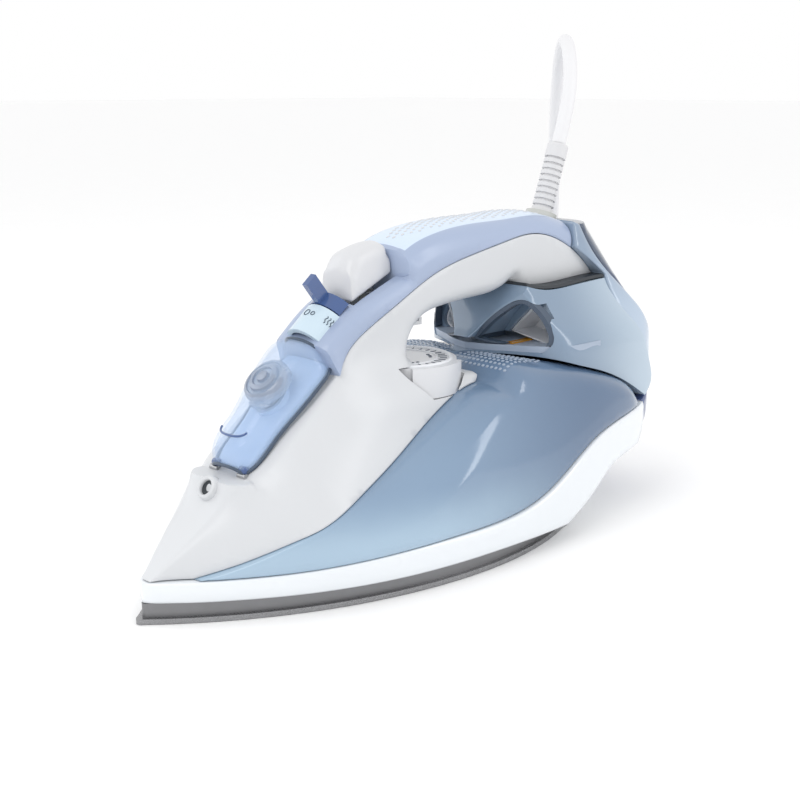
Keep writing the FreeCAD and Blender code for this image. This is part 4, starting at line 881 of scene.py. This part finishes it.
def make_door_trim(finishes):
    """The hood's dark rolled edge, its hinge blocks, the finger dip's rim and the stopper's ringed cap."""
    mesh = bmesh.new()
    edge = ([door_surface(a, -1) for a in np.linspace(0.5, 61, 40)]
            + [door_surface(61, v) for v in np.linspace(-0.95, 0.95, 20)]
            + [door_surface(a, 1) for a in np.linspace(61, 0.5, 40)]
            + [door_surface(0.5, v) for v in np.linspace(0.95, -0.95, 16)])
    tube_mesh(mesh, edge, 0.0007, closed=True)
    bmesh.ops.recalc_face_normals(mesh, faces=mesh.faces)
    dress(add_mesh("door_edge", mesh), finishes["rim_slate"], body="door")
    mesh = bmesh.new()
    tube_mesh(mesh, [door_surface(15 - 4.6 * math.sin(a), 0.36 * math.cos(a)) for a in
                     np.linspace(0.2, math.pi - 0.2, 24)], 0.0005)
    bmesh.ops.recalc_face_normals(mesh, faces=mesh.faces)
    dress(add_mesh("door_finger_rim", mesh), finishes["selector_blue"], body="door")
    for name, side in (("door_hinge_left", 1), ("door_hinge_right", -1)):
        profile = [(0, 0), (1.3, 0), (1.7, 0.4), (1.7, 3.8), (1.3, 4.2), (0, 4.2)]
        item = lathe(name, profile, (side * 8.6 - 2.1, 48.0, 54.6), (1, 0, 0), 32)
        dress(item, finishes["selector_blue"], body="door")
    along, out = 38.5, 7.8
    base = (0, DOOR_FOOT[0] + DOOR_ALONG[0] * along - DOOR_ALONG[1] * out,
            DOOR_FOOT[1] + DOOR_ALONG[1] * along + DOOR_ALONG[0] * out)
    profile = [(0, 0), (9.0, 0), (10.4, 0.8), (10.7, 4.2), (10.0, 5.6), (8.7, 6.2), (8.2, 5.5), (7.1, 5.5),
               (6.6, 7.0), (4.9, 7.4), (4.5, 6.4), (2.9, 6.4), (2.4, 7.8), (0, 8.0)]
    item = lathe("stopper_cap", profile, base, (0, -DOOR_ALONG[1], DOOR_ALONG[0]), 72)
    item.data.set_sharp_from_angle(angle=math.radians(40))
    dress(item, finishes["stopper_blue"], body="door")


# ---------------------------------------------------------------- nozzle and dial details


def make_nozzle(finishes):
    """A raised oval boss low on the nose with the spray's mouth in it, painted black as the shade inside the
    opening.
    """
    profile = [(0, -6), (5.4, -6), (5.4, -1.0), (4.9, 0.9), (3.9, 1.6), (3.3, 1.2), (3.1, 0.3), (3.1, -2.5),
               (0, -2.5)]
    base, axis = (0, 36.2, 48.0), (0, -0.86, 0.51)
    boss = lathe("nozzle_boss", profile, base, axis, 64)
    dress(boss, finishes["housing_grey"], nodes=["spray_nozzle"])
    # Painted shade: a black cone stands for the shade inside the spray's opening.
    profile = [(0, -2.4), (3.0, -2.4), (3.0, 0.1), (2.5, 0.3), (1.1, -1.0), (0, -1.1)]
    mouth = lathe("nozzle_mouth_painted_shade", profile, base, axis, 48)
    dress(mouth, finishes["gasket_black"])


def make_strip_marks(finishes):
    """Small plain icons on the strip: two rings and three short strokes."""
    mesh = bmesh.new()

    def on_strip(u, theta):
        lift = 12.15 * math.cos(theta)
        s, z = 91.55 + 0.777 * u - 0.629 * lift, 96.67 + 0.629 * u + 0.777 * lift
        return place(12.15 * math.sin(theta), s, z)
    for turn, radius in ((-0.15, 1.5), (0.15, 0.9)):
        ring = [on_strip(10.4 + radius * math.sin(a), turn + radius / 12 * math.cos(a))
                for a in np.linspace(0, 2 * math.pi, 20, endpoint=False)]
        tube_mesh(mesh, ring, 0.00018, closed=True, sides=6)
    for turn in (0.72, 0.84, 0.96):
        wave = [on_strip(8.6 + k * 0.6, turn + 0.03 * math.sin(k * 1.6)) for k in range(7)]
        tube_mesh(mesh, wave, 0.00018, sides=6)
    bmesh.ops.recalc_face_normals(mesh, faces=mesh.faces)
    dress(add_mesh("strip_marks", mesh), finishes["rim_slate"])


def make_dial_marks(finishes):
    """A raised clear ring, tick marks and heat dots on the dial's face."""
    z = 85.85
    mesh = bmesh.new()
    for radius, thick in ((23.6, 0.0009), (17.2, 0.0005)):
        circle = [place(radius * math.cos(a), 145 + radius * math.sin(a), z)
                  for a in np.linspace(0, 2 * math.pi, 72, endpoint=False)]
        tube_mesh(mesh, circle, thick, closed=True)
    bmesh.ops.recalc_face_normals(mesh, faces=mesh.faces)
    dress(add_mesh("dial_rings", mesh), finishes["lining_white"], body="dial")
    mesh = bmesh.new()
    for k in range(28):
        angle = math.radians(-150 + 300 * k / 27)
        inner = 18.6 if k % 3 else 17.9
        line = [place(r * math.cos(angle), 145 + r * math.sin(angle), z) for r in (inner, 20.2, 21.8)]
        tube_mesh(mesh, line, 0.00025, sides=6)
    for count, angle in ((1, -80), (2, -20), (3, 45)):
        for k in range(count):
            turn = math.radians(angle + 11 * k)
            centre = place(14.2 * math.cos(turn), 145 + 14.2 * math.sin(turn), z)
            made = bmesh.ops.create_uvsphere(mesh, u_segments=12, v_segments=8, radius=0.0009)["verts"]
            for vert in made:
                vert.co = Vector((vert.co.x, vert.co.y, vert.co.z * 0.3)) + Vector(centre)
    bmesh.ops.recalc_face_normals(mesh, faces=mesh.faces)
    dress(add_mesh("dial_marks", mesh), finishes["rim_slate"], body="dial")


# ---------------------------------------------------------------- the cord

CORD_ROUTE = [
    (0, 103.9, 177.2), (0, 110.1, 194.1), (-4.9, 118.7, 210.3), (-15.2, 129.4, 223.7), (-29.9, 144.9, 229.1),
    (-44.5, 160.2, 223.0), (-55.0, 171.3, 207.2), (-59.0, 175.5, 183.9), (-61.2, 177.7, 140.0),
    (-62.6, 179.2, 80.0), (-62.6, 179.2, 33.2), (-73.4, 182.6, 14.3), (-92.0, 188.3, 3.7),
    (-112.0, 194.5, 3.7)]
TAIL_ROUTE = [(-166.7, 131.8, 10.5), (-158.2, 111.4, 7.8), (-148.2, 93.9, 9.3)]
COIL_CENTRE = (-125.5, 151.0)
COIL_RADII = [45.5, 38.3, 31.1, 23.9, 23.9, 31.1, 38.3, 45.5]
COIL_START = 72.8
COIL_TURNS = 7.367
COIL_POINTS = 24


def coil_route():
    """Two flat layers, winding in and then out, each turn stepping to the next over its last quarter."""
    for k in range(1, int(COIL_TURNS * COIL_POINTS)):
        turn, part = divmod(k, COIL_POINTS)
        share = max(0.0, part / COIL_POINTS - 0.75) * 4
        share = share * share * (3 - 2 * share)
        radius = COIL_RADII[turn] + (COIL_RADII[min(turn + 1, 7)] - COIL_RADII[turn]) * share
        layer = share if turn == 3 else float(turn > 3)
        angle = math.radians(COIL_START + 360 * k / COIL_POINTS)
        yield (COIL_CENTRE[0] + radius * math.cos(angle), COIL_CENTRE[1] + radius * math.sin(angle),
               3.7 + 7.1 * layer)


def make_cord(finishes):
    points = CORD_ROUTE + list(coil_route()) + TAIL_ROUTE
    data = bpy.data.curves.new("supply_cord", "CURVE")
    data.dimensions = "3D"
    data.bevel_depth = 0.0035
    data.bevel_resolution = 6
    data.use_fill_caps = True
    spline = data.splines.new("NURBS")
    spline.points.add(len(points) - 1)
    for point, (x, y, z) in zip(spline.points, points):
        point.co = (x * 0.001, y * 0.001, z * 0.001, 1)
    spline.order_u = 3
    spline.use_endpoint_u = True
    spline.resolution_u = 6
    item = bpy.data.objects.new("supply_cord", data)
    bpy.context.scene.collection.objects.link(item)
    dress(item, finishes["cord_grey"], nodes=["power_cord", "cord_tail", "cord_coil"])


# ---------------------------------------------------------------- everything

make_camera()
make_studio()
finishes = make_finishes()
dress_frame(finishes)
make_cord(finishes)
make_skirt(finishes)
tank = make_tank(finishes)
make_knurl(tank, finishes)
make_housing(finishes)
cover = make_handle_cover(finishes)
make_grip_dots(cover, finishes)
make_heel(finishes)
make_pillar(finishes)
make_button(finishes)
make_strip_marks(finishes)
make_hood(finishes)
make_door_trim(finishes)
make_nozzle(finishes)
make_dial_marks(finishes)
